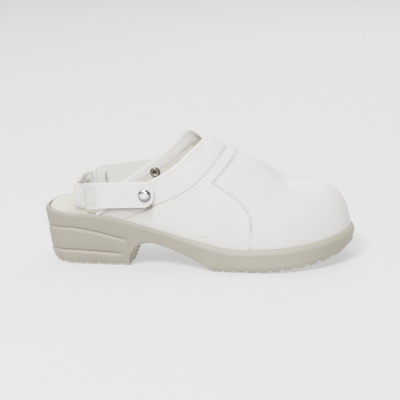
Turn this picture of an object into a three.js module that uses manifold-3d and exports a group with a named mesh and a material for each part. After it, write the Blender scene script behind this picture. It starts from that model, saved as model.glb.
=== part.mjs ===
// A work clog with an open heel, as a right shoe: a moulded sole with a block heel, a closed padded upper
// and a riveted heel strap whose back is gathered elastic. Millimetres, +X to the toe, +Y to the inner
// (medial) side, +Z up. Lengths along the shoe are counted from the back of the heel until the last lines.
import * as THREE from "three";
import { mergeVertices } from "three/addons/utils/BufferGeometryUtils.js";
import Module from "manifold-3d";

// Plan of the sole
const soleLength = 286;
const ballWidth = 103.5;
const heelWidth = 72;
const heelRound = 36;
const toeRoundLateral = 76;
const toeRoundMedial = 66;
const tipOffset = 6;

// Heights of the sole's rim over the floor, and how it curves up at the toe
const heelRim = 48.5;
const foreRim = 20.4;
const toeRimRise = 8.6;
const toeSpring = 12;
const heelBackRise = 5.5;
const heelBackReach = 16;

// The rim, the recess that it surrounds, and the tread
const rimWidth = 3.2;
const rimBevel = 2.2;
const rimShoulder = 0.6;
const rimBand = 0.9;
const recessDepth = 4.2;
const recessDraft = 0.3;
const bottomEdge = 3.2;
const lugHeight = 2.2;
const lugInset = 3.4;
const lugPitch = 10.6;
const lugGap = 3.4;
const lugSweep = 5;
const lugRoot = 1.5;
const leastLug = 25;
const channelWidth = 3;

// The heel block: its front face, the arch in front of it and its two grooves
const breastAt = 83;
const archHeight = 23.6;
const archFront = 156;
const grooveDepth = 1.5;
const grooveWide = 1.1;
const grooveBevel = 2.6;
const grooveFade = 9;
const lowerGrooveShort = 5;
const heelTaper = 4.6;
const foreTaper = 1.6;
const taperFrom = 6;
const taperTo = 8;
const breastRibs = 5;
const breastRibRise = 3.6;
const breastRibDepth = 2.4;
const breastRibLean = 0.36;
const breastRibSpan = 54;

// The upper
const upperRear = 57;
const gap = 0.3;
const upperWall = 2.4;
const collarPadOut = 1.5;
const collarPadIn = 1.3;
const quarterStep = 0.7;
const quarterRoot = 1;
const seamDitch = 0.8;
const ridgeLean = 34;
const throatHeight = 112.5;
const toeCapHeight = 71.4;
const ridgeOffset = 4;
const axisHeight = 60;
const throatAt = 147.5;
const collarSeamAt = 167;

// Insole
const insoleThick = 4.3;
const insoleDish = 1.6;
const insoleStepFrom = 14;
const insoleStepTo = 4;

// Heel strap, its gathered back and its rivets
const rivetAt = 98;
const rivetHeight = 69.5;
const medialRivetAhead = 1.3;
const medialRivetRise = 2.5;
const strapWidth = 24.8;
const strapThick = 2.6;
const strapNose = 8.7;
const strapNoseRound = 11;
const strapEndRound = 3;
const strapReach = 57;
const strapDrop = 2.6;
const medialStrapDrop = 8;
const elasticLap = 10;
const elasticBack = 29.5;
const elasticCorner = 15;
const elasticDraw = 1;
const elasticThick = 4.6;
const elasticWidth = 21;
const elasticDrop = 2;
const gatherCount = 20;
const gatherDepth = 0.9;
const rivetCapRadius = 6;
const rivetCapRise = 3;
const rivetCapEdge = 0.5;
const rivetPostRadius = 2;
const rivetRingRadius = 5;
const rivetRingThick = 1.3;
const rivetRingCrown = 0.5;
const rivetRingRound = 1;
const rivetRingEdge = 0.4;

// Fineness of the meshes
const soleStations = 36;
const planStations = 28;
const treadStations = 30;
const insoleStations = 22;
const insoleStart = 0.16;
const upperColumns = [14, 5, 15];
const throatCrowding = 1.7;
const lowerRows = 9;
const collarRows = 5;
const leastRow = 0.2;
const leastRimRow = 0.1;
const tabStations = 18;
const tabRows = 4;
const stepsPerGather = 3;
const rivetSides = 16;
const tiny = 1e-3;

const lateralBall = ballWidth * 0.512;
const medialBall = ballWidth * 0.488;
const smooth = (from, to, x) => THREE.MathUtils.smoothstep(x, from, to);
const { lerp, clamp, RAD2DEG } = THREE.MathUtils;

// How far each side has gone from the heel's half width to the ball's, along the sole
const widthRows = [
  { at: 0.12, lateral: 0, medial: 0 },
  { at: 0.175, lateral: 0.05, medial: -0.03 },
  { at: 0.26, lateral: 0.135, medial: -0.055 },
  { at: 0.35, lateral: 0.265, medial: -0.07 },
  { at: 0.44, lateral: 0.49, medial: 0.02 },
  { at: 0.525, lateral: 0.755, medial: 0.3 },
  { at: 0.61, lateral: 0.94, medial: 0.67 },
  { at: 0.7, lateral: 1, medial: 0.93 },
  { at: 0.76, lateral: 1, medial: 1 },
];

// The rim's height: drop is a share of the heel's height over the forefoot's, rise of the rise at the toe
const rimRows = [
  { at: 0, drop: 0.985, rise: 0 },
  { at: 0.11, drop: 1, rise: 0 },
  { at: 0.188, drop: 0.957, rise: 0 },
  { at: 0.262, drop: 0.826, rise: 0 },
  { at: 0.363, drop: 0.553, rise: 0 },
  { at: 0.465, drop: 0.294, rise: 0 },
  { at: 0.565, drop: 0.085, rise: 0 },
  { at: 0.64, drop: 0, rise: 0 },
  { at: 0.705, drop: 0, rise: 0.06 },
  { at: 0.775, drop: 0, rise: 0.23 },
  { at: 0.845, drop: 0, rise: 0.42 },
  { at: 0.916, drop: 0, rise: 0.67 },
  { at: 1, drop: 0, rise: 1 },
];

// The tread's height in front of the ball, as a share of the toe spring
const springRows = [
  { at: 0.69, rise: 0 },
  { at: 0.74, rise: 0.06 },
  { at: 0.8, rise: 0.21 },
  { at: 0.87, rise: 0.43 },
  { at: 0.93, rise: 0.68 },
  { at: 0.975, rise: 1 },
  { at: 1, rise: 1.35 },
];

// The underside from the heel's front face to the ball: at is a share of its length, rise of the arch's height
const archRows = [
  { at: 0, rise: 0.42 },
  { at: 0.03, rise: 0.6 },
  { at: 0.07, rise: 0.77 },
  { at: 0.12, rise: 0.9 },
  { at: 0.17, rise: 0.965 },
  { at: 0.24, rise: 1 },
  { at: 0.33, rise: 0.96 },
  { at: 0.45, rise: 0.85 },
  { at: 0.58, rise: 0.71 },
  { at: 0.74, rise: 0.49 },
  { at: 0.87, rise: 0.26 },
  { at: 1, rise: 0 },
];

// The heel's two grooves: their heights are shares of the heel's rim
const grooveRows = [
  { at: 0, upper: 0.7, lower: 0.25 },
  { at: 0.32, upper: 0.765, lower: 0.31 },
  { at: 0.53, upper: 0.722, lower: 0.3 },
  { at: 0.66, upper: 0.675, lower: 0.29 },
  { at: 0.8, upper: 0.615, lower: 0.275 },
  { at: 0.94, upper: 0.555, lower: 0.262 },
  { at: 1.02, upper: 0.525, lower: 0.255 },
];

// The ridge over the instep, from behind the opening to the toe cap: at is a share of the length, rise is 0
// on the toe cap and 1 at the throat
const ridgeRows = [
  { at: -0.12, rise: 2.49 },
  { at: 0.1, rise: 2.26 },
  { at: 0.3, rise: 1.72 },
  { at: 0.42, rise: 1.316 },
  { at: 0.472, rise: 1.125 },
  { at: 0.516, rise: 1 },
  { at: 0.53, rise: 0.96 },
  { at: 0.575, rise: 0.814 },
  { at: 0.64, rise: 0.61 },
  { at: 0.705, rise: 0.368 },
  { at: 0.737, rise: 0.187 },
  { at: 0.768, rise: 0 },
  { at: 0.8, rise: -0.04 },
  { at: 0.85, rise: 0 },
];

// How far back each section's top lies from its foot, as a share of the lean at the toe
const leanRows = [
  { at: 0.2, lean: 0.85 },
  { at: 0.4, lean: 0.8 },
  { at: 0.52, lean: 0.72 },
  { at: 0.62, lean: 0.56 },
  { at: 0.72, lean: 0.38 },
  { at: 0.8, lean: 0.32 },
  { at: 0.87, lean: 0.37 },
  { at: 0.94, lean: 0.6 },
  { at: 1, lean: 1 },
];

// The fullness of each side's section: 2 is an ellipse, more is squarer
const fullnessRows = [
  { at: 0.15, lateral: 3.3, medial: 3.3 },
  { at: 0.35, lateral: 3.0, medial: 3.1 },
  { at: 0.47, lateral: 2.6, medial: 2.75 },
  { at: 0.55, lateral: 2.2, medial: 2.35 },
  { at: 0.64, lateral: 2.05, medial: 2.15 },
  { at: 0.74, lateral: 2.05, medial: 2.15 },
  { at: 0.84, lateral: 2.15, medial: 2.2 },
  { at: 0.93, lateral: 2.05, medial: 2.1 },
  { at: 1, lateral: 2, medial: 2 },
];

// The opening's edge and the collar's seam. turn is the angle round the foot, 0 out to the side and 90
// straight up; the reaches are shares of the way from the upper's rear end to the throat, and to where the
// seam crosses the ridge
const toplineRows = [
  { turn: -20, lateral: -0.06, medial: -0.06 },
  { turn: -13, lateral: 0, medial: 0 },
  { turn: -6, lateral: 0.083, medial: 0.058 },
  { turn: 11, lateral: 0.287, medial: 0.2 },
  { turn: 26, lateral: 0.49, medial: 0.324 },
  { turn: 33, lateral: 0.625, medial: 0.385 },
  { turn: 39, lateral: 0.724, medial: 0.45 },
  { turn: 46, lateral: 0.82, medial: 0.535 },
  { turn: 52, lateral: 0.875, medial: 0.605 },
  { turn: 60, lateral: 0.93, medial: 0.7 },
  { turn: 69, lateral: 0.965, medial: 0.8 },
  { turn: 77, lateral: 0.98, medial: 0.88 },
  { turn: 84, lateral: 0.99, medial: 0.94 },
  { turn: 90, lateral: 1, medial: 1 },
];
const seamRows = [
  { turn: -24, lateral: 0.16, medial: 0.15 },
  { turn: -18.5, lateral: 0.23, medial: 0.21 },
  { turn: -3.4, lateral: 0.415, medial: 0.33 },
  { turn: 7.2, lateral: 0.58, medial: 0.44 },
  { turn: 18.5, lateral: 0.725, medial: 0.56 },
  { turn: 32.7, lateral: 0.845, medial: 0.7 },
  { turn: 50.3, lateral: 0.94, medial: 0.83 },
  { turn: 72, lateral: 0.99, medial: 0.94 },
  { turn: 90, lateral: 1, medial: 1 },
];

// The quarters' front edge, which overlaps the vamp from the sole to the ridge, with a corner on each side.
// Its reaches are shares as the seam's are
const quarterEdgeRows = [
  { turn: -32, lateral: 1.232, medial: 1.218 },
  { turn: -14, lateral: 1.241, medial: 1.209 },
  { turn: -5, lateral: 1.214, medial: 1.173 },
  { turn: 6, lateral: 1.148, medial: 1.1 },
  { turn: 14, lateral: 1.068, medial: 1.018 },
  { turn: 20.5, lateral: 0.995, medial: 0.936 },
  { turn: 27, lateral: 0.927, medial: 0.859 },
  { turn: 33.5, lateral: 0.968, medial: 0.9 },
  { turn: 42, lateral: 1.014, medial: 0.959 },
  { turn: 57.7, lateral: 1.068, medial: 1.036 },
  { turn: 75, lateral: 1.095, medial: 1.082 },
  { turn: 90, lateral: 1.105, medial: 1.105 },
];

// Shares of the forms: where the ridge swings to the tip, how full the collar's padding is, how the padding
// and the quarters' step fade in above the feather edge, where the wall's rows lie, and how the gathers swell
const ridgeSwing = { from: 0.6, to: 0.88, reach: 0.7 };
const padFullness = 0.45;
const padFade = { from: 0, to: 0.05 };
const stepFade = { from: 0.03, to: 0.15 };
const bevelFoot = 0.3;
const foreRows = { upper: 0.66, lower: 0.33 };
const edgeRound = { rise: 0.25, inset: 0.3 };
const ribStep = { lower: 0.5, upper: 0.8 };
const gather = { fade: 0.12, thick: 0.6, high: 0.5 };

// A smooth curve through a table's rows: the value of column "key" where column "by" has the value x
function curve(rows, by, key, x) {
  const last = rows.length - 1;
  if (x <= rows[0][by]) return rows[0][key];
  if (x >= rows[last][by]) return rows[last][key];
  const i = rows.findIndex((row) => row[by] > x) - 1;
  const slope = (k) => {
    const a = rows[Math.max(k - 1, 0)];
    const b = rows[Math.min(k + 1, last)];
    return (b[key] - a[key]) / (b[by] - a[by]);
  };
  const h = rows[i + 1][by] - rows[i][by];
  const t = (x - rows[i][by]) / h;
  const s = t * t * (3 - 2 * t);
  const bend = h * t * (1 - t) * ((1 - t) * slope(i) - t * slope(i + 1));
  return lerp(rows[i][key], rows[i + 1][key], s) + bend;
}

// The sole's outline. Angle 0 is the heel's back, PI the tip of the toe; lateral up to PI, then medial
const stationX = (angle) => (soleLength * (1 - Math.cos(angle))) / 2;
const angleAt = (x) => Math.acos(1 - (2 * clamp(x, 0, soleLength)) / soleLength);
const sideOf = (angle) => (Math.sin(angle) >= 0 ? "lateral" : "medial");

function halfWidth(x, side) {
  const ball = side === "lateral" ? lateralBall : medialBall;
  const toeRound = side === "lateral" ? toeRoundLateral : toeRoundMedial;
  const full = lerp(heelWidth / 2, ball, curve(widthRows, "at", side, x / soleLength));
  const heelShare = Math.max(1 - x / heelRound, 0);
  const toeShare = Math.max(1 - (soleLength - x) / toeRound, 0);
  return full * Math.sqrt(Math.max(1 - heelShare ** 2.1, 0)) * Math.sqrt(Math.max(1 - toeShare ** 2, 0));
}

function outline(angle) {
  const x = stationX(angle);
  const side = sideOf(angle);
  const middle = tipOffset * smooth(soleLength - toeRoundLateral, soleLength, x);
  const half = halfWidth(x, side);
  return new THREE.Vector2(x, middle + (side === "lateral" ? -half : half));
}

function insetOutline(angle, inset) {
  const along = outline(angle + tiny).sub(outline(angle - tiny)).normalize();
  return outline(angle).add(new THREE.Vector2(-along.y, along.x).multiplyScalar(inset));
}

// Heights of the sole along its length
const rimHeight = (x) => {
  const at = x / soleLength;
  const heelRise = (heelRim - foreRim) * curve(rimRows, "at", "drop", at);
  return foreRim + heelRise + toeRimRise * curve(rimRows, "at", "rise", at);
};
const floorHeight = (x) => rimHeight(x) + rimBevel - recessDepth;

function treadHeight(x) {
  if (x <= breastAt) return heelBackRise * Math.max(1 - x / heelBackReach, 0) ** 2;
  if (x < archFront) {
    const at = (x - breastAt) / (archFront - breastAt);
    return (archHeight - lugHeight) * curve(archRows, "at", "rise", at);
  }
  return toeSpring * curve(springRows, "at", "rise", x / soleLength);
}

// Closed meshes from rows of points

function solidFrom(vertices, faces) {
  const flat = new THREE.BufferGeometry();
  const numbers = vertices.flatMap((p) => [p.x, p.y, p.z]);
  flat.setAttribute("position", new THREE.Float32BufferAttribute(numbers, 3));
  flat.setIndex(faces.flat());
  const merged = mergeVertices(flat, tiny);
  const index = merged.index.array;
  const kept = [];
  for (let i = 0; i < index.length; i += 3) {
    const [a, b, c] = [index[i], index[i + 1], index[i + 2]];
    if (a !== b && b !== c && c !== a) kept.push(a, b, c);
  }
  merged.setIndex(kept);
  return merged;
}

// Closed rings of points, one after another, joined into a skin
function skin(rings) {
  const vertices = rings.flat();
  const count = rings[0].length;
  const faces = [];
  for (let i = 0; i < rings.length - 1; i++) {
    for (let k = 0; k < count; k++) {
      const a = i * count + k;
      const b = i * count + ((k + 1) % count);
      faces.push([a, b, b + count], [a, b + count, a + count]);
    }
  }
  return { vertices, faces, count };
}

// A bar through rings of points, with its two ends closed by fans of strips between its two halves
function bar(rings) {
  const { vertices, faces, count } = skin(rings);
  const close = (start, flip) => {
    for (let k = 0; k < count / 2 - 1; k++) {
      const a = start + k;
      const b = start + k + 1;
      const c = start + count - 2 - k;
      const d = start + count - 1 - k;
      const quads = [[a, c, b], [a, d, c]];
      quads.forEach((f) => faces.push(flip ? [f[0], f[2], f[1]] : f));
    }
  };
  close(0, false);
  close((rings.length - 1) * count, true);
  return solidFrom(vertices, faces);
}

const wasm = await Module();
wasm.setup();

function toManifold(geometry) {
  const g = geometry.clone();
  ["normal", "uv"].forEach((name) => g.deleteAttribute(name));
  const merged = mergeVertices(g, tiny);
  const mesh = new wasm.Mesh({
    numProp: 3,
    vertProperties: new Float32Array(merged.attributes.position.array),
    triVerts: new Uint32Array(merged.index.array),
  });
  return new wasm.Manifold(mesh);
}

function toGeometry(solid) {
  const mesh = solid.getMesh();
  const g = new THREE.BufferGeometry();
  g.setAttribute("position", new THREE.BufferAttribute(mesh.vertProperties.slice(), 3));
  g.setIndex(new THREE.BufferAttribute(mesh.triVerts.slice(), 1));
  return g;
}

// The sole

// One wall of the sole at an outline angle, as rows of [height, inset] from the recess's floor to the bottom
function wallRows(angle) {
  const x = stationX(angle);
  const rim = rimHeight(x);
  const inHeel = 1 - smooth(breastAt - taperFrom, breastAt + taperTo, x);
  const fullTaper = lerp(foreTaper, heelTaper, inHeel);
  const bottom = treadHeight(insetOutline(angle, fullTaper + bottomEdge).x) + lugHeight;
  const taper = (z) => (fullTaper * (rim - z)) / (rim - Math.min(bottom, rim / 2));
  const groove = (name, share, end) => {
    const inBlock = curve(grooveRows, "at", name, x / breastAt) * heelRim;
    return {
      z: lerp(lerp(bottom, rim, share), inBlock, inHeel),
      depth: grooveDepth * (1 - smooth(end - grooveFade, end, x)),
    };
  };
  const upper = groove("upper", foreRows.upper, breastAt);
  const lower = groove("lower", foreRows.lower, breastAt - lowerGrooveShort);
  const rows = [
    [floorHeight(x), rimWidth + recessDraft],
    [rim + rimBevel, rimWidth],
    [rim + bevelFoot * rimBevel, rimShoulder],
    [rim - rimBand, 0],
    [upper.z + grooveWide, taper(upper.z)],
    [upper.z, taper(upper.z) + upper.depth],
    [upper.z - grooveBevel, taper(upper.z - grooveBevel)],
    [lower.z + grooveWide, taper(lower.z)],
    [lower.z, taper(lower.z) + lower.depth],
    [lower.z - grooveBevel, taper(lower.z - grooveBevel)],
    [bottom + bottomEdge, taper(bottom)],
    [bottom + edgeRound.rise * bottomEdge, taper(bottom) + edgeRound.inset * bottomEdge],
    [bottom, taper(bottom) + bottomEdge],
  ];
  const fixed = 4;
  const least = (k) => bottom + leastRow * (rows.length - 1 - k);
  const most = (k) => rim - rimBand - leastRimRow * (k - fixed + 1);
  return rows.map(([z, inset], k) => [k < fixed ? z : clamp(z, least(k), most(k)), inset]);
}

function soleStationAngles() {
  const even = Array.from({ length: soleStations + 1 }, (_, i) => (Math.PI * i) / soleStations);
  const corner = 0.25;
  const nearest = 0.02;
  const arch = archRows.slice(0, 5).map((row) => breastAt + corner + row.at * (archFront - breastAt));
  const springFrom = springRows[0].at * soleLength;
  const extra = [breastAt - taperFrom, breastAt, ...arch, archFront, springFrom].map(angleAt);
  const near = (a) => extra.some((b) => Math.abs(a - b) < nearest);
  return [...even.filter((a) => !near(a)), ...extra].sort((a, b) => a - b);
}

// Each ring runs down the lateral wall and up the medial one; the recess's floor and the underside close it
function soleBody() {
  const rings = soleStationAngles().map((angle) => {
    const place = (a) =>
      wallRows(a).map(([z, inset]) => {
        const p = insetOutline(a, inset);
        return new THREE.Vector3(p.x, p.y, z);
      });
    const lateral = place(angle);
    const medial = place(2 * Math.PI - angle);
    return [...lateral, ...medial.reverse()];
  });
  const { vertices, faces } = skin(rings);
  return solidFrom(vertices, faces);
}

// A plan outline from x = from to x = to, inset, as a shape for upright prisms
function planShape(inset, from, to) {
  const start = angleAt(from);
  const end = angleAt(to);
  const half = (sign) =>
    Array.from({ length: planStations + 1 }, (_, i) => {
      const angle = lerp(start, end, i / planStations);
      return insetOutline(sign > 0 ? angle : 2 * Math.PI - angle, inset);
    });
  return new THREE.Shape([...half(1), ...half(-1).reverse()]);
}

// A profile in x and z, drawn right across the shoe
function acrossShoe(points, span) {
  const shape = new THREE.Shape(points.map(([x, z]) => new THREE.Vector2(x, z)));
  const g = new THREE.ExtrudeGeometry(shape, { depth: span, bevelEnabled: false });
  g.rotateX(Math.PI / 2);
  return g.translate(0, span / 2, 0);
}

// Swept bars on each side of a channel, cut to the tread's outline and to a skin of the lugs' height
function lugs(from, to) {
  const reach = ballWidth;
  const depth = heelRim;
  const upright = (shape) => {
    const g = new THREE.ExtrudeGeometry(shape, { depth, bevelEnabled: false });
    return toManifold(g).translate([0, 0, -depth / 2]);
  };
  const plan = upright(planShape(bottomEdge + lugInset, from, to));
  const line = (rise) =>
    Array.from({ length: treadStations + 1 }, (_, i) => {
      const x = lerp(from, to, i / treadStations);
      return [x, treadHeight(x) + rise];
    });
  const layer = toManifold(acrossShoe([...line(0), ...line(lugHeight + lugRoot).reverse()], 2 * reach));
  const block = plan.intersect(layer);
  const made = [];
  for (let x = to - lugPitch; x > from - lugSweep; x -= lugPitch) {
    for (const side of [-1, 1]) {
      const inner = (side * channelWidth) / 2;
      const outer = side * reach;
      const sweep = (lugSweep * reach) / (ballWidth / 2);
      const corners = [
        [x + lugSweep, inner],
        [x + lugPitch - lugGap + lugSweep, inner],
        [x + lugPitch - lugGap + lugSweep - sweep, outer],
        [x + lugSweep - sweep, outer],
      ].map(([cx, cy]) => new THREE.Vector2(cx, cy));
      const lug = upright(new THREE.Shape(corners)).intersect(block);
      if (lug.volume() > leastLug) made.push(lug);
    }
  }
  return made;
}

// The ribbed wedge on the heel's front face
function breastWedge() {
  const root = 2;
  const steps = [[breastAt - root, lugHeight]];
  const foot = (i) => [breastAt + breastRibLean * i * breastRibRise, lugHeight + i * breastRibRise];
  for (let i = 0; i < breastRibs; i++) {
    const [x, z] = foot(i);
    steps.push([x, z]);
    steps.push([x + breastRibDepth, z + ribStep.lower * breastRibRise]);
    steps.push([x + breastRibDepth, z + ribStep.upper * breastRibRise]);
  }
  const [x, top] = foot(breastRibs);
  steps.push([x + breastRibDepth, top + root], [breastAt - root, top + root]);
  return toManifold(acrossShoe(steps, breastRibSpan));
}

function makeSole() {
  const treads = [...lugs(2, breastAt - 0.5), ...lugs(archFront - 2, soleLength - 1)];
  const solid = treads.reduce((whole, lug) => whole.add(lug), toManifold(soleBody()).add(breastWedge()));
  return toGeometry(solid);
}

// The insole, dished, and narrower where the upper's wall stands beside it

function makeInsole() {
  const across = 6;
  const clear = rimWidth + recessDraft + gap;
  const besideUpper = (x) => smooth(upperRear - insoleStepFrom, upperRear - insoleStepTo, x);
  const rings = Array.from({ length: insoleStations + 1 }, (_, i) => {
    const angle = lerp(insoleStart, Math.PI - insoleStart, i / insoleStations);
    const x = stationX(angle);
    const inset = clear + (upperWall + collarPadIn + gap) * besideUpper(x);
    const lateral = insetOutline(angle, inset);
    const medial = insetOutline(2 * Math.PI - angle, inset);
    const low = floorHeight(x) + gap;
    const top = [];
    for (let k = 0; k <= across; k++) {
      const s = k / across;
      const p = lateral.clone().lerp(medial, s);
      const dish = insoleDish * (1 - (2 * s - 1) ** 2) * Math.sin(angle);
      top.push(new THREE.Vector3(p.x, p.y, low + insoleThick - dish));
    }
    const under = top.map((p) => new THREE.Vector3(p.x, p.y, low)).reverse();
    return [...top, ...under].reverse();
  });
  return bar(rings);
}

// The upper

const ridgeX = (x) => x - ridgeLean * curve(leanRows, "at", "lean", x / soleLength);
const ridgeZ = (x) => lerp(toeCapHeight, throatHeight, curve(ridgeRows, "at", "rise", x / soleLength));
const ridgeY = (x) => {
  const swing = smooth(ridgeSwing.from * soleLength, ridgeSwing.to * soleLength, x);
  return lerp(ridgeOffset, tipOffset * ridgeSwing.reach, swing);
};
const feather = (angle) => insetOutline(angle, rimWidth + recessDraft + gap);

// A point of the last's surface: angle round the outline, v from the feather edge (0) to the ridge (1)
function lastPoint(angle, v) {
  const x = stationX(angle);
  const foot = feather(angle);
  const low = floorHeight(x) + gap;
  const topX = ridgeX(x);
  const n = curve(fullnessRows, "at", sideOf(angle), x / soleLength);
  const turn = (v * Math.PI) / 2;
  const reach = (Math.cos(turn) ** n + Math.sin(turn) ** n) ** (-1 / n);
  const inward = 1 - Math.cos(turn) * reach;
  return new THREE.Vector3(
    lerp(foot.x, topX, inward),
    lerp(foot.y, ridgeY(topX), inward),
    lerp(low, ridgeZ(topX), Math.sin(turn) * reach),
  );
}

function lastNormal(angle, v) {
  const step = 2e-3;
  if (v > 0.999) {
    const x = ridgeX(stationX(angle));
    return new THREE.Vector3(ridgeZ(x - step) - ridgeZ(x + step), 0, 2 * step).normalize();
  }
  const round = lastPoint(angle + step, v).sub(lastPoint(angle - step, v));
  const up = lastPoint(angle, Math.min(v + step, 1)).sub(lastPoint(angle, Math.max(v - step, 0)));
  const normal = round.cross(up);
  if (v < 0.02) normal.z = 0;
  return normal.normalize();
}

const turnOf = (p) => Math.atan2(p.z - axisHeight, Math.abs(p.y - ridgeY(p.x))) * RAD2DEG;

// How far in front of a line round the foot a point is. The line is a table of reaches by turn
function aheadOf(p, rows, side, reachAt) {
  return p.x - lerp(upperRear, reachAt, curve(rows, "turn", side, turnOf(p)));
}

// Where the rib at an angle meets a line, as v: 0 if it is all behind the line, 1 if it is all in front
function meet(angle, rows, reachAt) {
  const side = sideOf(angle);
  const ahead = (v) => aheadOf(lastPoint(angle, v), rows, side, reachAt);
  if (ahead(0.004) <= 0) return 0;
  const steps = 40;
  let low = 0;
  while (low < steps && ahead((low + 1) / steps) > 0) low++;
  if (low === steps) return 1;
  let [a, b] = [low / steps, (low + 1) / steps];
  for (let i = 0; i < 24; i++) {
    const middle = (a + b) / 2;
    if (ahead(middle) > 0) a = middle;
    else b = middle;
  }
  return (a + b) / 2;
}

// The collar's padding at a point of the band between the seam and the opening's edge: 0 at both, 1 between
function padding(p, side) {
  const ahead = Math.max(aheadOf(p, toplineRows, side, throatAt), 0);
  const behind = Math.max(-aheadOf(p, seamRows, side, collarSeamAt), 0);
  const share = ahead / Math.max(ahead + behind, 1e-6);
  return Math.max(Math.sin(Math.PI * share), 0) ** padFullness;
}

// One rib of a shell over the last, as points of its outer and inner face from the feather edge up. reach
// gives how far each face stands off the last's surface
function rib(angle, heights, reach) {
  const outer = [];
  const inner = [];
  heights.forEach((v, row) => {
    const normal = lastNormal(angle, v);
    const p = lastPoint(angle, v);
    const { out, within } = reach(p, v, row);
    outer.push(p.clone().addScaledVector(normal, out));
    inner.push(p.clone().addScaledVector(normal, -within));
  });
  return { outer, inner };
}

const seamOver = (angle) => meet(angle, seamRows, collarSeamAt);
const heightsTo = (seam) => Array.from({ length: lowerRows + 1 }, (_, k) => (seam * k) / lowerRows);

// A rib of the upper's wall, which is padded from the collar's seam to the opening's edge
function wallRib(angle, open) {
  const top = open ? Math.max(meet(angle, toplineRows, throatAt), 0.02) : 1;
  const seam = Math.min(seamOver(angle), top);
  const heights = heightsTo(seam);
  for (let k = 1; k <= collarRows; k++) heights.push(lerp(seam, top, k / collarRows));
  return rib(angle, heights, (p, v, row) => {
    const pad = row > lowerRows ? padding(p, sideOf(angle)) * smooth(padFade.from, padFade.to, v) : 0;
    return { out: collarPadOut * pad, within: upperWall + collarPadIn * pad };
  });
}

// A rib of the layer that the quarters add over the wall, from the sole to the ditch at the collar's seam
const quarterTop = (angle) => meet(angle, seamRows, collarSeamAt + seamDitch);

function quarterRib(angle) {
  const heights = heightsTo(seamOver(angle)).with(lowerRows, quarterTop(angle));
  return rib(angle, heights, (p, v) => ({
    out: quarterStep * smooth(stepFade.from, stepFade.to, v),
    within: quarterRoot,
  }));
}

// The station of the section whose top is at a place along the ridge
function stationOver(ridgePlace) {
  let [a, b] = [0, soleLength];
  for (let i = 0; i < 30; i++) {
    const middle = (a + b) / 2;
    if (ridgeX(middle) < ridgePlace) a = middle;
    else b = middle;
  }
  return (a + b) / 2;
}

function columnAngles() {
  const stops = [upperRear, stationOver(throatAt), stationOver(collarSeamAt), soleLength].map(angleAt);
  const angles = [stops[0]];
  upperColumns.forEach((count, span) => {
    for (let i = 1; i <= count; i++) {
      const share = span === 0 ? 1 - (1 - i / count) ** throatCrowding : i / count;
      angles.push(lerp(stops[span], stops[span + 1], share));
    }
  });
  return angles;
}

// A closed shell through ribs on both sides of the shoe. The first ribs of each side end at an open edge, up
// to and with the one at openCount; the others meet their opposites on the ridge
function shell(half, openCount, ribAt) {
  const ribs = half.map((angle, i) => ribAt(angle, i < openCount));
  const opposite = half.slice(0, -1).map((angle, i) => ribAt(2 * Math.PI - angle, i < openCount));
  ribs.push(...opposite.reverse());
  const rows = ribs[0].outer.length;
  const vertices = ribs.flatMap(({ outer, inner }) => [...outer, ...inner]);
  const at = (column, face, row) => column * 2 * rows + face * rows + row;
  const faces = [];
  const quad = (a, b, c, d) => {
    const level = vertices[a].distanceTo(vertices[c]) <= vertices[b].distanceTo(vertices[d]);
    faces.push(...(level ? [[a, b, c], [a, c, d]] : [[b, c, d], [b, d, a]]));
  };
  const last = ribs.length - 1;
  const top = rows - 1;
  for (let c = 0; c < last; c++) {
    for (let r = 0; r < top; r++) {
      quad(at(c, 0, r), at(c + 1, 0, r), at(c + 1, 0, r + 1), at(c, 0, r + 1));
      quad(at(c, 1, r), at(c, 1, r + 1), at(c + 1, 1, r + 1), at(c + 1, 1, r));
    }
    quad(at(c, 0, 0), at(c, 1, 0), at(c + 1, 1, 0), at(c + 1, 0, 0));
    const open = c + 1 <= openCount || c >= last - openCount;
    if (open) quad(at(c, 0, top), at(c + 1, 0, top), at(c + 1, 1, top), at(c, 1, top));
  }
  for (let r = 0; r < top; r++) {
    quad(at(0, 0, r), at(0, 0, r + 1), at(0, 1, r + 1), at(0, 1, r));
    quad(at(last, 0, r), at(last, 1, r), at(last, 1, r + 1), at(last, 0, r + 1));
  }
  return toManifold(solidFrom(vertices, faces));
}

// Everything behind the quarters' front edge on one side of the ridge
function behindEdge(side) {
  const edge = quarterEdgeRows.map((row) => {
    const x = lerp(upperRear, collarSeamAt, row[side]);
    return [x, onSide(x, side, (p) => turnOf(p) < row.turn).z];
  });
  const [footX] = edge[0];
  const [ridgePlace] = edge[edge.length - 1];
  const above = 2 * throatHeight;
  const span = 2 * ballWidth;
  const block = acrossShoe([[0, 0], [footX, 0], ...edge, [ridgePlace, above], [0, above]], span);
  return toManifold(block.translate(0, ridgeOffset + (outward(side) * span) / 2, 0));
}

function makeUpper() {
  const [toThroat, toSeam] = upperColumns;
  const columns = columnAngles();
  const wall = shell(columns, toThroat, wallRib);
  const first = columns.findIndex((a) => Math.min(quarterTop(a), quarterTop(2 * Math.PI - a)) > stepFade.from);
  const crossing = toThroat + toSeam;
  const layered = columns.with(crossing, angleAt(stationOver(collarSeamAt + seamDitch))).slice(first);
  const layer = shell(layered, crossing - first, quarterRib);
  const quarters = layer.intersect(behindEdge("lateral").add(behindEdge("medial")));
  const cuts = ["lateral", "medial"].flatMap((side) => [postHole(side), ringSeat(side)]);
  return toGeometry(cuts.reduce((whole, cut) => whole.subtract(cut), wall.add(quarters)));
}

// The last's side at a distance from the heel, as high as isBelow holds, carried on past the upper's own edge
function onSide(x, side, isBelow) {
  const mirror = (angle) => (side === "lateral" ? angle : 2 * Math.PI - angle);
  let station = x;
  let p = null;
  for (let i = 0; i < 12; i++) {
    const angle = mirror(angleAt(station));
    let [a, b] = [0, 1];
    for (let k = 0; k < 24; k++) {
      const v = (a + b) / 2;
      if (isBelow(lastPoint(angle, v))) a = v;
      else b = v;
    }
    p = lastPoint(angle, a);
    station += x - p.x;
  }
  return p;
}

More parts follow.
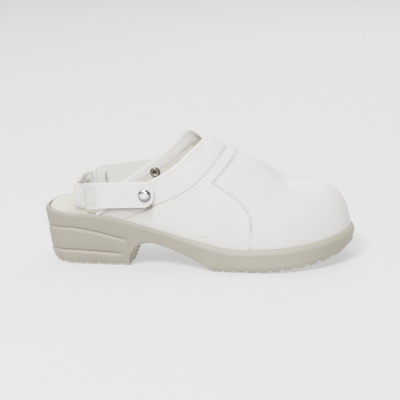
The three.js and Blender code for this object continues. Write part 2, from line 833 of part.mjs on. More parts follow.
const sidePoint = (x, z, side) => onSide(x, side, (p) => p.z < z);

// The heel strap: a leather tab on each side, and the gathered elastic between them

const rivetX = (side) => rivetAt + (side === "medial" ? medialRivetAhead : 0);
const rivetZ = (side) => rivetHeight + (side === "medial" ? medialRivetRise : 0);
const dropOf = (side) => (side === "medial" ? medialStrapDrop : strapDrop);
const strapMiddle = (x, side) => rivetZ(side) - (dropOf(side) * (rivetX(side) - x)) / strapReach;
const outward = (side) => (side === "lateral" ? -1 : 1);
const tabInner = (x, z, side) => Math.abs(sidePoint(x, z, side).y) + collarPadOut + gap;

// Half the tab's width at x: full, with a round nose in front and small rounds behind
function tabHalf(x, back, front) {
  const half = strapWidth / 2;
  const corner = (distance, radius) =>
    distance >= radius ? 0 : radius - Math.sqrt(Math.max(radius ** 2 - (radius - distance) ** 2, 0));
  return half - corner(front - x, strapNoseRound) - corner(x - back, strapEndRound);
}

function makeTab(side) {
  const back = rivetX(side) - strapReach;
  const front = rivetX(side) + strapNose;
  const rings = Array.from({ length: tabStations + 1 }, (_, i) => {
    const x = lerp(back, front, (1 - Math.cos((Math.PI * i) / tabStations)) / 2);
    const face = (out) =>
      Array.from({ length: tabRows + 1 }, (_, k) => {
        const z = strapMiddle(x, side) + tabHalf(x, back, front) * ((2 * k) / tabRows - 1);
        return new THREE.Vector3(x, outward(side) * (tabInner(x, z, side) + out), z);
      });
    const ring = [...face(strapThick), ...face(0).reverse()];
    return side === "lateral" ? ring.reverse() : ring;
  });
  return toGeometry(toManifold(bar(rings)).subtract(postHole(side)).subtract(capSeat(side)));
}

// The elastic's line in plan, from the lateral tab round the heel to the medial one
function elasticPath() {
  const lapEnd = rivetAt - strapReach + elasticLap;
  const inside = (side) => {
    const y = tabInner(lapEnd, strapMiddle(lapEnd, side), side) - gap - elasticThick / 2 - gatherDepth;
    return outward(side) * y;
  };
  const [lateral, medial] = [inside("lateral"), inside("medial")];
  const back = elasticBack + elasticThick / 2;
  const turnIn = back + elasticCorner;
  // The straight run beside the foot, the corner's bend, and where the run across the heel starts
  const places = (y, inward) => [
    new THREE.Vector3(lapEnd, y, 0),
    new THREE.Vector3(turnIn, y + inward * elasticDraw, 0),
    new THREE.Vector3(back, y + inward * 2 * elasticDraw, 0),
    new THREE.Vector3(back, y + inward * (2 * elasticDraw + elasticCorner), 0),
  ];
  const [a, b, c, d] = places(lateral, 1);
  const [h, g, f, e] = places(medial, -1);
  const path = new THREE.CurvePath();
  path.add(new THREE.LineCurve3(a, b));
  path.add(new THREE.QuadraticBezierCurve3(b, c, d));
  path.add(new THREE.LineCurve3(d, e));
  path.add(new THREE.QuadraticBezierCurve3(e, f, g));
  path.add(new THREE.LineCurve3(g, h));
  return path;
}

function makeElastic() {
  const path = elasticPath();
  const count = stepsPerGather * gatherCount;
  const section = 8;
  const rings = Array.from({ length: count + 1 }, (_, i) => {
    const u = i / count;
    const p = path.getPointAt(u);
    const tangent = path.getTangentAt(u);
    const out = new THREE.Vector3(tangent.y, -tangent.x, 0);
    const back = Math.sin(Math.PI * u) ** 0.8;
    const ends = ["lateral", "medial"].map((side) => strapMiddle(rivetX(side) - strapReach, side));
    const middle = lerp(ends[0], ends[1], u) - elasticDrop * back;
    const free = smooth(0, gather.fade, Math.min(u, 1 - u));
    const swell = Math.sin(Math.PI * 2 * u * gatherCount) * gatherDepth * free;
    return Array.from({ length: section }, (_, k) => {
      const turn = (-2 * Math.PI * (k + 0.5)) / section;
      const c = Math.cos(turn);
      const s = Math.sin(turn);
      const half = elasticThick / 2 + swell * gather.thick;
      const high = elasticWidth / 2 + swell * gather.high;
      return p.clone()
        .addScaledVector(out, half * Math.sign(c) * Math.abs(c) ** 0.5)
        .add(new THREE.Vector3(0, 0, middle + high * Math.sign(s) * Math.abs(s) ** 0.5));
    });
  });
  return bar(rings);
}

// Rivets, turned about an axis that runs out of the shoe's side

// Where the cap's underside and the ring's face lie, as distances from the shoe's middle
function rivetSeats(side) {
  return {
    cap: tabInner(rivetX(side), rivetZ(side), side) + strapThick,
    ring: Math.abs(sidePoint(rivetX(side), rivetZ(side), side).y) - upperWall - collarPadIn,
  };
}

function turned(points, side) {
  const g = new THREE.LatheGeometry(points.map(([r, h]) => new THREE.Vector2(r, h)), rivetSides);
  if (side === "lateral") g.rotateX(Math.PI);
  return g;
}

function makeRivetCap(side) {
  const seats = rivetSeats(side);
  const end = seats.ring - rivetRingThick / 2;
  const steps = 6;
  const crown = rivetCapRise - rivetCapEdge;
  const dome = Array.from({ length: steps }, (_, i) => {
    const turn = (Math.PI / 2) * (1 - i / steps);
    return [rivetCapRadius * Math.sin(turn), seats.cap + rivetCapEdge + crown * Math.cos(turn)];
  });
  const post = [
    [0, end],
    [rivetPostRadius, end],
    [rivetPostRadius, seats.cap],
    [rivetCapRadius, seats.cap],
  ];
  return turned([...post, ...dome, [0, seats.cap + rivetCapRise]], side);
}

function makeRivetRing(side) {
  const face = rivetSeats(side).ring;
  const bore = rivetPostRadius + gap;
  const section = [
    [bore, face],
    [bore, face - rivetRingThick],
    [bore + rivetRingRound, face - rivetRingThick - rivetRingCrown],
    [rivetRingRadius - rivetRingRound, face - rivetRingThick],
    [rivetRingRadius, face - rivetRingEdge],
    [rivetRingRadius, face],
    [bore, face],
  ];
  return turned(section, side);
}

// The hole for a rivet's post, and the shallow seats that its cap and its ring are pressed into
function disc(side, radius, from, to) {
  const g = new THREE.CylinderGeometry(radius, radius, to - from, rivetSides);
  return toManifold(g.translate(rivetX(side), (outward(side) * (from + to)) / 2, rivetZ(side)));
}
const postHole = (side) => disc(side, rivetPostRadius + gap, 0, heelWidth);
const capSeat = (side) => disc(side, rivetCapRadius + gap, rivetSeats(side).cap - gap, heelWidth);
const ringSeat = (side) => disc(side, rivetRingRadius + gap, 0, rivetSeats(side).ring + gap);

// The assembly

const looks = {
  sole: { color: 0xb9b3a1, roughness: 0.7, metalness: 0 },
  footbed: { color: 0xdedbcb, roughness: 0.85, metalness: 0 },
  leather: { color: 0xe9e8e4, roughness: 0.55, metalness: 0 },
  elastic: { color: 0xebeae8, roughness: 0.8, metalness: 0 },
  metal: { color: 0xb8bab8, roughness: 0.25, metalness: 1 },
};

const shoe = new THREE.Group();
shoe.name = "clog";

function addPart(name, geometry, look) {
  const mesh = new THREE.Mesh(geometry, new THREE.MeshStandardMaterial(looks[look]));
  mesh.name = name;
  shoe.add(mesh);
  return mesh;
}

addPart("sole", makeSole(), "sole");
addPart("insole", makeInsole(), "footbed");
addPart("upper", makeUpper(), "leather");
addPart("strap_elastic", makeElastic(), "elastic");
for (const side of ["lateral", "medial"]) {
  addPart(`strap_tab_${side}`, makeTab(side), "leather");
  addPart(`rivet_cap_${side}`, makeRivetCap(side), "metal").position.set(rivetX(side), 0, rivetZ(side));
  addPart(`rivet_ring_${side}`, makeRivetRing(side), "metal").position.set(rivetX(side), 0, rivetZ(side));
}

// The origin goes to the middle of the shoe's plan, on the floor
shoe.updateMatrixWorld(true);
const extent = new THREE.Box3().setFromObject(shoe, true);
const centre = extent.getCenter(new THREE.Vector3());
shoe.position.set(-centre.x, -centre.y, -extent.min.z);

export default shoe;
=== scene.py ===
"""The looks of a right-foot work clog: soft white leather, a moulded foam sole, a cream footbed, a gathered
elastic strap back and polished rivets. Lengths are millimetres counted from the back of the heel, with +X to
the toe and +Y to the shoe's inner side, and place() puts them in the frame in metres."""
import bmesh
import bpy
import numpy as np
from mathutils import Matrix, Vector
from numpy import arange, array, asarray, clip, concatenate, cos, exp, hypot, linspace, maximum, minimum
from numpy import pi, radians, sin, sqrt, stack, where
from numpy.linalg import norm


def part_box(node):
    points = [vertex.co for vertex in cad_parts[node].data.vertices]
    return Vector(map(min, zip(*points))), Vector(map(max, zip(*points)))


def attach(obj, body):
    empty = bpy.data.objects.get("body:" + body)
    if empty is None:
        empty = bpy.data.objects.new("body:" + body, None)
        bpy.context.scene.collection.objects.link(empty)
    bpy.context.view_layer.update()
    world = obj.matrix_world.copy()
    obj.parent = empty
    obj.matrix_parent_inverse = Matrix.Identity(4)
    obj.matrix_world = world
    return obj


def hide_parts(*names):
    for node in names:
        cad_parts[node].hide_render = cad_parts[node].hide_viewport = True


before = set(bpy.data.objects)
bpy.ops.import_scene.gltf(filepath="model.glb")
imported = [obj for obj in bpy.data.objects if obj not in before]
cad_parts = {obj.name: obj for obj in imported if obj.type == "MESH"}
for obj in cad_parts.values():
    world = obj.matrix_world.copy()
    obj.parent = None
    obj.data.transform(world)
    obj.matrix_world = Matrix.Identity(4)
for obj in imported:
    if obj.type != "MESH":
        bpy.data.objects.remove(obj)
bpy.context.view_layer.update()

MM = 0.001

# Sizes of the shoe, as in its solids
sole_length = 286.0
ball_width = 103.5
heel_width = 72.0
heel_round = 36.0
toe_round_lateral = 76.0
toe_round_medial = 66.0
tip_offset = 6.0
heel_rim = 48.5
fore_rim = 20.4
toe_rim_rise = 8.6
toe_spring = 12.0
rim_width = 3.2
rim_bevel = 2.2
rim_round = 3.3
rim_overlap = 0.9
recess_depth = 4.2
recess_draft = 0.3
bottom_edge = 3.2
lug_height = 2.2
lug_inset = 1.9
lug_pitch = 10.6
lug_gap = 3.4
lug_sweep = 5.0
channel_width = 3.0
smallest_lug = 12.0
breast_at = 83.0
arch_height = 23.6
arch_front = 156.0
groove_depth = 2.3
groove_wide = 0.8
groove_bevel = 2.7
groove_ends = {"upper": breast_at, "lower": breast_at - 5}
heel_taper = 4.6
fore_taper = 1.6
breast_ribs = 5
breast_rib_rise = 3.6
breast_rib_depth = 2.4
breast_rib_lean = 0.36
breast_rib_span = 54.0
upper_rear = 57.0
gap = 0.3
upper_wall = 2.4
collar_pad_out = 1.5
collar_pad_in = 1.3
ridge_lean = 34.0
throat_height = 112.5
toe_cap_height = 71.4
ridge_offset = 4.0
axis_height = 60.0
throat_at = 147.5
collar_seam_at = 167.0
insole_thick = 4.3
insole_dish = 1.6
rivet_at = 98.0
rivet_height = 69.5
medial_rivet_ahead = 1.3
medial_rivet_rise = 2.5
strap_width = 24.8
strap_thick = 2.6
strap_nose = 8.7
strap_nose_round = 11.0
strap_end_round = 3.0
strap_reach = 57.0
strap_drop = 2.6
medial_strap_drop = 8.0
tab_edge_round = 1.0
elastic_lap = 10.0
elastic_back = 29.5
elastic_corner = 15.0
elastic_thick = 4.6
elastic_width = 21.0
elastic_drop = 2.0
gather_count = 26
gather_depth = 0.9
rivet_cap_radius = 6.0
rivet_cap_rise = 3.0
rivet_ring_radius = 5.0
rivet_post_radius = 2.0
rivet_ring_thick = 1.3

# The leather's low relief: the ditch along the collar's seam, the quarters' edge over the vamp, the opening's
# bound edge with a fine line beside its roll, and a slit near the sole
seam_ditch = 0.45
seam_ditch_width = 1.1
vamp_step = 0.7
bound_line_at = 2.4
slit_at = 5.2
slit_lean = 1.3
slit_foot = 51.5
# Inside, the collar's leather turns in over the cloth lining, down to this share of the band
lined_share = 0.6
turned_in_step = 0.35
inner_line_at = 4.0
# The box of stitches that holds the elastic, from the tab's rear edge and its middle line
box_back = 3.4
box_front = 12.0
box_reach = 7.4
# Stitches, each with its pitch, length and radius, and how far two of the rows are from their seams
collar_stitch = (3.3, 1.75, 0.42)
vamp_stitch = (3.1, 1.8, 0.5)
lining_stitch = (3.2, 2.1, 0.36)
box_stitch = (2.5, 1.8, 0.36)
collar_stitch_ahead = 1.3
vamp_stitch_behind = 1.2


def table(names, *rows):
    """A short table as one array for each named column."""
    return dict(zip(names.split(), array(rows, float).T))


# How far each side has gone from the heel's half width to the ball's
WIDTHS = table(
    "at lateral medial", (0.12, 0, 0), (0.175, 0.05, -0.03), (0.26, 0.135, -0.055), (0.35, 0.265, -0.07),
    (0.44, 0.49, 0.02), (0.525, 0.755, 0.3), (0.61, 0.94, 0.67), (0.7, 1, 0.93), (0.76, 1, 1))
# The rim's height along the sole
RIM = table(
    "at drop rise", (0, 0.985, 0), (0.11, 1, 0), (0.188, 0.957, 0), (0.262, 0.826, 0), (0.363, 0.553, 0),
    (0.465, 0.294, 0), (0.565, 0.085, 0), (0.64, 0, 0), (0.705, 0, 0.06), (0.775, 0, 0.23),
    (0.845, 0, 0.42), (0.916, 0, 0.67), (1, 0, 1))
SPRING = table(
    "at rise", (0.69, 0), (0.74, 0.06), (0.8, 0.21), (0.87, 0.43), (0.93, 0.68), (0.975, 1), (1, 1.35))
ARCH = table(
    "at rise", (0, 0.42), (0.03, 0.6), (0.07, 0.77), (0.12, 0.9), (0.17, 0.965), (0.24, 1), (0.33, 0.96),
    (0.45, 0.85), (0.58, 0.71), (0.74, 0.49), (0.87, 0.26), (1, 0))
GROOVES = table(
    "at upper lower", (0, 0.7, 0.25), (0.32, 0.765, 0.31), (0.53, 0.722, 0.3), (0.66, 0.675, 0.29),
    (0.8, 0.615, 0.275), (0.94, 0.555, 0.262), (1.02, 0.525, 0.255))
# The ridge over the instep, the sections' lean and their fullness
RIDGE = table(
    "at rise", (-0.12, 2.49), (0.1, 2.26), (0.3, 1.72), (0.42, 1.316), (0.472, 1.125), (0.516, 1),
    (0.53, 0.96), (0.575, 0.814), (0.64, 0.61), (0.705, 0.368), (0.737, 0.187), (0.768, 0), (0.8, -0.04),
    (0.85, 0))
LEAN = table(
    "at lean", (0.2, 0.85), (0.4, 0.8), (0.52, 0.72), (0.62, 0.56), (0.72, 0.38), (0.8, 0.32), (0.87, 0.37),
    (0.94, 0.6), (1, 1))
FULLNESS = table(
    "at lateral medial", (0.15, 3.3, 3.3), (0.35, 3.0, 3.1), (0.47, 2.6, 2.75), (0.55, 2.2, 2.35),
    (0.64, 2.05, 2.15), (0.74, 2.05, 2.15), (0.84, 2.15, 2.2), (0.93, 2.05, 2.1), (1, 2, 2))
# The opening's edge, the collar's seam and the vamp's edge, by the angle round the foot
TOPLINE = table(
    "at lateral medial", (-20, -0.06, -0.06), (-13, 0, 0), (-6, 0.083, 0.058), (11, 0.287, 0.2),
    (26, 0.49, 0.324), (33, 0.625, 0.385), (39, 0.724, 0.45), (46, 0.82, 0.535), (52, 0.875, 0.605),
    (60, 0.93, 0.7), (69, 0.965, 0.8), (77, 0.98, 0.88), (84, 0.99, 0.94), (90, 1, 1))
COLLAR_SEAM = table(
    "at lateral medial", (-24, 0.16, 0.15), (-18.5, 0.23, 0.21), (-3.4, 0.415, 0.33), (7.2, 0.58, 0.44),
    (18.5, 0.725, 0.56), (32.7, 0.845, 0.7), (50.3, 0.94, 0.83), (72, 0.99, 0.94), (90, 1, 1))
# The vamp's edge is given in millimetres from the heel, with a corner where it turns
VAMP_EDGE = table(
    "at lateral medial", (-40, 191.5, 190), (-32, 192.5, 191), (-14, 193.5, 190), (-5, 190.5, 186),
    (6, 183.3, 178), (14, 174.5, 169), (20.5, 166.5, 160), (27, 159, 151.5), (33.5, 163.5, 156),
    (42, 168.5, 162.5), (57.7, 174.5, 171), (75, 177.5, 176), (90, 178.5, 178.5))
# How far each line is moved towards the toe over the ridge, where rounding its corner drew it back
ridge_ahead = {"topline": 3.4, "collar": 1.6, "vamp": 0.3}
# Soft creases of the upper, as places in the side view: middle, half length, half width, slope and depth
CREASES = table(
    "x z long wide slope depth side", (219, 62, 15, 3.4, -40, 0.32, -1), (209, 70, 15, 3.2, -30, 0.28, -1),
    (200, 76, 13, 2.8, -26, 0.2, -1), (232, 66, 12, 3.0, -14, 0.2, -1), (217, 62, 15, 3.4, -42, 0.34, 1),
    (207, 70, 15, 3.2, -32, 0.28, 1), (180, 84, 22, 3.6, -66, 0.25, -1), (178, 84, 20, 3.6, -68, 0.25, 1),
    (150, 62, 24, 4.0, 34, 0.3, -1), (146, 58, 22, 4.0, 36, 0.3, 1))
# Small marks on the leather's lateral side, with their half lengths and how dark they are
MARKS = table(
    "x z long tall dark", (151, 33.5, 4.0, 0.9, 0.95), (116.5, 39.5, 0.8, 0.8, 0.95),
    (252, 35, 0.9, 0.8, 0.75), (260, 31, 0.9, 0.8, 0.85), (205, 31, 1.4, 0.7, 0.55))
# How dark the painted shade makes the sole's wall below its lit bevel ahead of its arch, and how much darker
# the heel is made
wall_dark = 0.3
heel_dark = 0.26


def smooth(low, high, x):
    t = clip((asarray(x, float) - low) / (high - low), 0, 1)
    return t * t * (3 - 2 * t)


def lerp(a, b, t):
    return a + (b - a) * t


def hill(x, half_width=1.0):
    """A smooth hill of height 1 around 0."""
    return exp(-(x / half_width) ** 2)


def unit(a):
    return a / maximum(norm(a, axis=-1, keepdims=True), 1e-12)


def curve(rows, key, x):
    """A smooth curve through a table's rows."""
    xs, ys = rows["at"], rows[key]
    last = len(xs) - 1
    before = maximum(arange(last + 1) - 1, 0)
    after = minimum(arange(last + 1) + 1, last)
    slope = (ys[after] - ys[before]) / (xs[after] - xs[before])
    x = asarray(x, float)
    i = clip(np.searchsorted(xs, x, side="right") - 1, 0, last - 1)
    h = xs[i + 1] - xs[i]
    t = clip((x - xs[i]) / h, 0, 1)
    bend = h * t * (1 - t) * ((1 - t) * slope[i] - t * slope[i + 1])
    return lerp(ys[i], ys[i + 1], t * t * (3 - 2 * t)) + bend


def polyline(rows, key, x):
    return np.interp(x, rows["at"], rows[key])


def by_side(rows, at, lateral, read=curve):
    """A table's value on each point's own side of the shoe."""
    return where(lateral, read(rows, "lateral", at), read(rows, "medial", at))


def evened(value, x, step):
    """A value evened out over five places that are a step apart."""
    weights = (0.14, 0.23, 0.26, 0.23, 0.14)
    return sum(weight * value(x + step * k) for k, weight in enumerate(weights, -2))


def bisected(low, high, is_low, turns):
    """Where is_low stops being true between low and high."""
    for _ in range(turns):
        middle = (low + high) / 2
        keep_high = is_low(middle)
        low, high = where(keep_high, middle, low), where(keep_high, high, middle)
    return (low + high) / 2


def wobble(p, size, seed):
    """Smooth unevenness between about -1 and 1, the same on every run."""
    x, y, z = np.moveaxis(p / size, -1, 0)
    a = sin(x * 1.7 + 2.1 * sin(y * 0.9 + seed) + seed)
    b = sin(y * 1.3 + 1.7 * sin(z * 1.1 + 2 * seed) + 1.3)
    c = sin(z * 1.9 + 1.9 * sin(x * 0.8 + 3 * seed) + 0.7)
    return (a + b + c) / 3


# The sole's outline. Angle 0 is the heel's back, pi the tip of the toe; lateral up to pi, then medial

def station_x(angle):
    return sole_length * (1 - cos(angle)) / 2


def angle_at(x):
    return np.arccos(clip(1 - 2 * asarray(x, float) / sole_length, -1, 1))


def is_lateral(angle):
    return sin(angle) >= 0


def outward_sign(lateral):
    return where(lateral, -1, 1)


def on_side(angle, lateral):
    return angle if lateral else 2 * pi - angle


def outline(angle):
    x = station_x(angle)
    lateral = is_lateral(angle)
    ball = ball_width * where(lateral, 0.512, 0.488)
    heel_share = maximum(1 - x / heel_round, 0)
    toe_share = maximum(1 - (sole_length - x) / where(lateral, toe_round_lateral, toe_round_medial), 0)
    half = lerp(heel_width / 2, ball, by_side(WIDTHS, x / sole_length, lateral))
    half = half * sqrt(maximum(1 - heel_share ** 2.1, 0)) * sqrt(maximum(1 - toe_share ** 2, 0))
    middle = tip_offset * smooth(sole_length - toe_round_lateral, sole_length, x)
    return stack([x, middle + outward_sign(lateral) * half], -1)


def inset_outline(angle, inset):
    step = 1e-3
    along = outline(angle + step) - outline(angle - step)
    along /= norm(along, axis=-1, keepdims=True)
    inward = stack([-along[..., 1], along[..., 0]], -1)
    return outline(angle) + inward * asarray(inset)[..., None]


def rim_height(x):
    at = asarray(x, float) / sole_length
    return fore_rim + (heel_rim - fore_rim) * curve(RIM, "drop", at) + toe_rim_rise * curve(RIM, "rise", at)


def floor_height(x):
    return rim_height(x) + rim_bevel - recess_depth


def tread_height(x):
    x = asarray(x, float)
    heel = 5.5 * maximum(1 - x / 16, 0) ** 2
    arch = (arch_height - lug_height) * curve(ARCH, "rise", (x - breast_at) / (arch_front - breast_at))
    toe = toe_spring * curve(SPRING, "rise", x / sole_length)
    return where(x <= breast_at, heel, where(x < arch_front, arch, toe))


# The last's surface, from the feather edge (v = 0) to the ridge (v = 1)

def ridge_x(x):
    return x - ridge_lean * curve(LEAN, "lean", x / sole_length)


def ridge_y(x):
    return lerp(ridge_offset, tip_offset * 0.7, smooth(0.6 * sole_length, 0.88 * sole_length, x))


def ridge_z(x):
    return toe_cap_height + (throat_height - toe_cap_height) * curve(RIDGE, "rise", x / sole_length)


def soft_ridge_z(x, v):
    """The ridge's height as the section sees it: evened out along the shoe towards the feather edge."""
    crest = (ridge_z(x - 8) + 2 * ridge_z(x) + ridge_z(x + 8)) / 4
    soft = lerp(evened(ridge_z, x, 13), crest, smooth(0.45, 1, v))
    return lerp(ridge_z(x), soft, smooth(172, 196, x))


def last_point(angle, v):
    angle, v = np.broadcast_arrays(asarray(angle, float), asarray(v, float))
    x = station_x(angle)
    foot = inset_outline(angle, rim_width + recess_draft + gap)
    top_x = ridge_x(x)
    n = by_side(FULLNESS, x / sole_length, is_lateral(angle))
    c, s = abs(cos(v * pi / 2)), abs(sin(v * pi / 2))
    reach = (c ** n + s ** n) ** (-1 / n)
    inward = 1 - c * reach
    return stack([lerp(foot[..., 0], top_x, inward), lerp(foot[..., 1], ridge_y(top_x), inward),
                  lerp(floor_height(x) + gap, soft_ridge_z(top_x, v), s * reach)], -1)


def last_normal(angle, v):
    angle, v = np.broadcast_arrays(asarray(angle, float), asarray(v, float))
    step = 2e-3
    around = last_point(angle + step, v) - last_point(angle - step, v)
    up = last_point(angle, minimum(v + step, 1)) - last_point(angle, maximum(v - step, 0))
    normal = np.cross(around, up)
    normal[..., 2] = where(v < 0.02, 0, normal[..., 2])
    x = ridge_x(station_x(angle))
    crest = stack([ridge_z(x - step) - ridge_z(x + step), np.zeros_like(x), np.full_like(x, 2 * step)], -1)
    return unit(where((v > 0.999)[..., None], crest, normal))


def turn_of(p):
    return np.degrees(np.arctan2(p[..., 2] - axis_height, abs(p[..., 1] - ridge_y(p[..., 0]))))


def line_x(p, lateral, line):
    """Where along the shoe a named line runs at a point's angle round the foot, rounded over the ridge."""
    def plain(across):
        turn = 90 - abs(across)
        if line == "vamp":
            return by_side(VAMP_EDGE, turn, across > 0, polyline)
        rows, reach_at = (TOPLINE, throat_at) if line == "topline" else (COLLAR_SEAM, collar_seam_at)
        return lerp(upper_rear, reach_at, by_side(rows, turn, across > 0))

    across = (turn_of(p) - 90) * outward_sign(lateral)
    x = lerp(evened(plain, across, 4.5), plain(across), smooth(10, 24, abs(across)))
    return x + ridge_ahead[line] * hill(across, 24)


def ahead_of(p, lateral, line):
    return p[..., 0] - line_x(p, lateral, line)


def meet(angle, line):
    """Where the sections at these angles meet a line, as v: 0 if all behind it, 1 if all in front."""
    lateral = is_lateral(angle)
    steps = 60
    vs = linspace(0, 1, steps + 1)
    vs[0] = 0.004
    behind = ahead_of(last_point(angle[:, None], vs[None]), lateral[:, None], line) <= 0
    first = where(behind.any(1), behind.argmax(1), steps + 1)
    low, high = clip(first - 1, 0, steps) / steps, clip(first, 0, steps) / steps
    at = bisected(low, high, lambda v: ahead_of(last_point(angle, v), lateral, line) > 0, 26)
    return where(first == 0, 0, where(first > steps, 1, at))


def padding(p, lateral):
    ahead = maximum(ahead_of(p, lateral, "topline"), 0)
    behind = maximum(-ahead_of(p, lateral, "collar"), 0)
    return maximum(sin(pi * ahead / maximum(ahead + behind, 1e-6)), 0) ** 0.45


# Places on the strap's two sides

def rivet_x(lateral):
    return rivet_at + where(lateral, 0, medial_rivet_ahead)


def rivet_z(lateral):
    return rivet_height + where(lateral, 0, medial_rivet_rise)


def strap_middle(x, lateral):
    drop = where(lateral, strap_drop, medial_strap_drop)
    return rivet_z(lateral) - drop * (rivet_x(lateral) - x) / strap_reach


# The leather's relief and its darker places

def crease_relief(p, lateral):
    depth = np.zeros(p.shape[:-1])
    for x, z, long, wide, slope, deep, side in zip(*CREASES.values()):
        c, s = cos(radians(slope)), sin(radians(slope))
        dx, dz = p[..., 0] - x, p[..., 2] - z
        along = (dx * c + dz * s) / long
        across = (-dx * s + dz * c) / wide
        trough = exp(-along ** 2 * 2) * (1 - 1.3 * across ** 2) * hill(across)
        depth -= deep * trough * (outward_sign(lateral) == side)
    return depth


def past_slit(p, lateral):
    return ahead_of(p, lateral, "topline") - slit_at - slit_lean * (p[..., 2] - slit_foot)


def slit(p, lateral):
    """How deep the slit beside the padded rear end is, from 0 to 1."""
    return hill(past_slit(p, lateral), 1.3) * smooth(-7, -13, turn_of(p))


def padded_end(p, lateral):
    """The swell of the padded end behind the slit."""
    return hill(past_slit(p, lateral) + 3.4, 2.4) * smooth(-7, -13, turn_of(p))


def strap_shade(p, lateral):
    """Painted shadow on the leather just below and ahead of the strap's tab: a dark line right under its edge
    and a softer shade that fades below.
    """
    past_rivet = p[..., 0] - rivet_x(lateral)
    half = strap_width / 2 - 2.2 * maximum(past_rivet, 0) ** 2 / 60
    below = strap_middle(p[..., 0], lateral) - half - p[..., 2]
    shade = smooth(1.1, -0.5, below) + 0.95 * exp(-maximum(below, 0) / 16)
    return shade * smooth(-3, -1, below) * smooth(strap_nose + 1.5, strap_nose - 4, past_rivet)


def upper_painted_shade_and_dirt(p, lateral, v):
    """Where the leather is painted darker: painted shade in its seam ditches, the slit and the fine line by
    the opening's edge, painted shade towards the sole with patchy dirt at its foot, the strap's painted
    shadow, and a few real marks.
    """
    # Painted shade in the ditch along the collar's seam, under the quarters' edge over the vamp and in the
    # fine line beside the opening's roll
    seam = 0.7 * hill(ahead_of(p, lateral, "collar"), 0.75)
    vamp = 0.7 * hill(ahead_of(p, lateral, "vamp") - 0.35, 0.8)
    line = 0.55 * hill(ahead_of(p, lateral, "topline") - bound_line_at, 0.7)
    # Darker towards the sole: painted shade where the leather nears the sole, with patchy dirt along its foot
    low = 0.2 * exp(-v / 0.035) + 0.2 * exp(-v / 0.16)
    low += 0.45 * exp(-v / 0.025) * smooth(0.1, 0.7, wobble(p, 8.0, 2.2))
    # Painted shade in the slit beside the padded end, and the strap's painted shadow
    dark = maximum.reduce([seam, vamp, line, low, 0.85 * slit(p, lateral), strap_shade(p, lateral)])
    for x, z, long, tall, amount in zip(*MARKS.values()):
        spot = hill(p[..., 0] - x, long) * hill(p[..., 2] - z, tall)
        dark = maximum(dark, amount * spot * lateral)
    return dark


def relief(p, lateral, in_band, v):
    """How far the outer leather stands off the last's surface."""
    clear = smooth(0, 0.05, v)
    seam = ahead_of(p, lateral, "collar")
    vamp = ahead_of(p, lateral, "vamp")
    near_ridge = hill(90 - turn_of(p), 26)
    pad = where(in_band, padding(p, lateral), 0) * (1 - 0.4 * near_ridge * smooth(-16, -2, seam))
    ditch = -seam_ditch * (1 - 0.65 * near_ridge) * hill(seam, seam_ditch_width)
    step = vamp_step * (1 - 0.75 * near_ridge) * (1 - smooth(-0.7, 0.4, vamp)) * smooth(0.6, 2.4, seam)
    uneven = 0.16 * wobble(p, 13, 0.4) + 0.07 * wobble(p, 5.5, 1.9) - 0.2 * hill(vamp - 0.9)
    edge = 0.7 * padded_end(p, lateral) - 1.1 * slit(p, lateral)
    edge -= 0.22 * hill(ahead_of(p, lateral, "topline") - bound_line_at, 0.7)
    return edge + (collar_pad_out * pad + ditch + step + uneven + crease_relief(p, lateral)) * clear


def upper_point(angle, v):
    """A point of the outer leather, and the outward direction there."""
    lateral = is_lateral(angle)
    p = last_point(angle, v)
    normal = last_normal(angle, v)
    return p + normal * relief(p, lateral, ahead_of(p, lateral, "collar") < 0, v)[..., None], normal


# Meshes, placed in the frame

sole_low = np.array(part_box("sole")[0]) / MM
origin = array([sole_low[0], sole_low[1] - outline(linspace(0, pi, 4001))[:, 1].min(), 0.0])


def place(points):
    return (asarray(points, float).reshape(-1, 3) + origin) * MM


def grid_faces(rows, columns, start=0, close_columns=False, flip=False):
    """Quads of a grid whose points run column by column within each row."""
    r = arange(rows - 1)[:, None]
    c = arange(columns if close_columns else columns - 1)[None]
    a = r * columns + c
    b = r * columns + (c + 1) % columns
    quads = stack([a, b, b + columns, a + columns], -1).reshape(-1, 4) + start
    return quads[:, ::-1] if flip else quads


def edge_faces(line, size):
    """Quads from a line of points to the same line of the next layer, size points further on."""
    return stack([line[:-1], line[1:], line[1:] + size, line[:-1] + size], -1)


def tube_faces(rings, sides, start=0):
    """The faces of a tube of rings, closed at both ends."""
    end = start + arange(sides)
    return [*grid_faces(rings, sides, start, close_columns=True), end, end[::-1] + (rings - 1) * sides]


def full_turn(sides):
    return linspace(0, 2 * pi, sides, endpoint=False)


def rounded_edge(margin, radius):
    """A quarter circle's height over the distance from an edge, from 0 to 1."""
    return sqrt(clip(1 - (1 - clip(margin / radius, 0, 1)) ** 2, 0, 1))


def length_along(points):
    return concatenate([[0], np.cumsum(norm(np.diff(points, axis=0), axis=-1))])


def sample(points, along, at):
    return stack([np.interp(at, along, column) for column in points.T], -1)


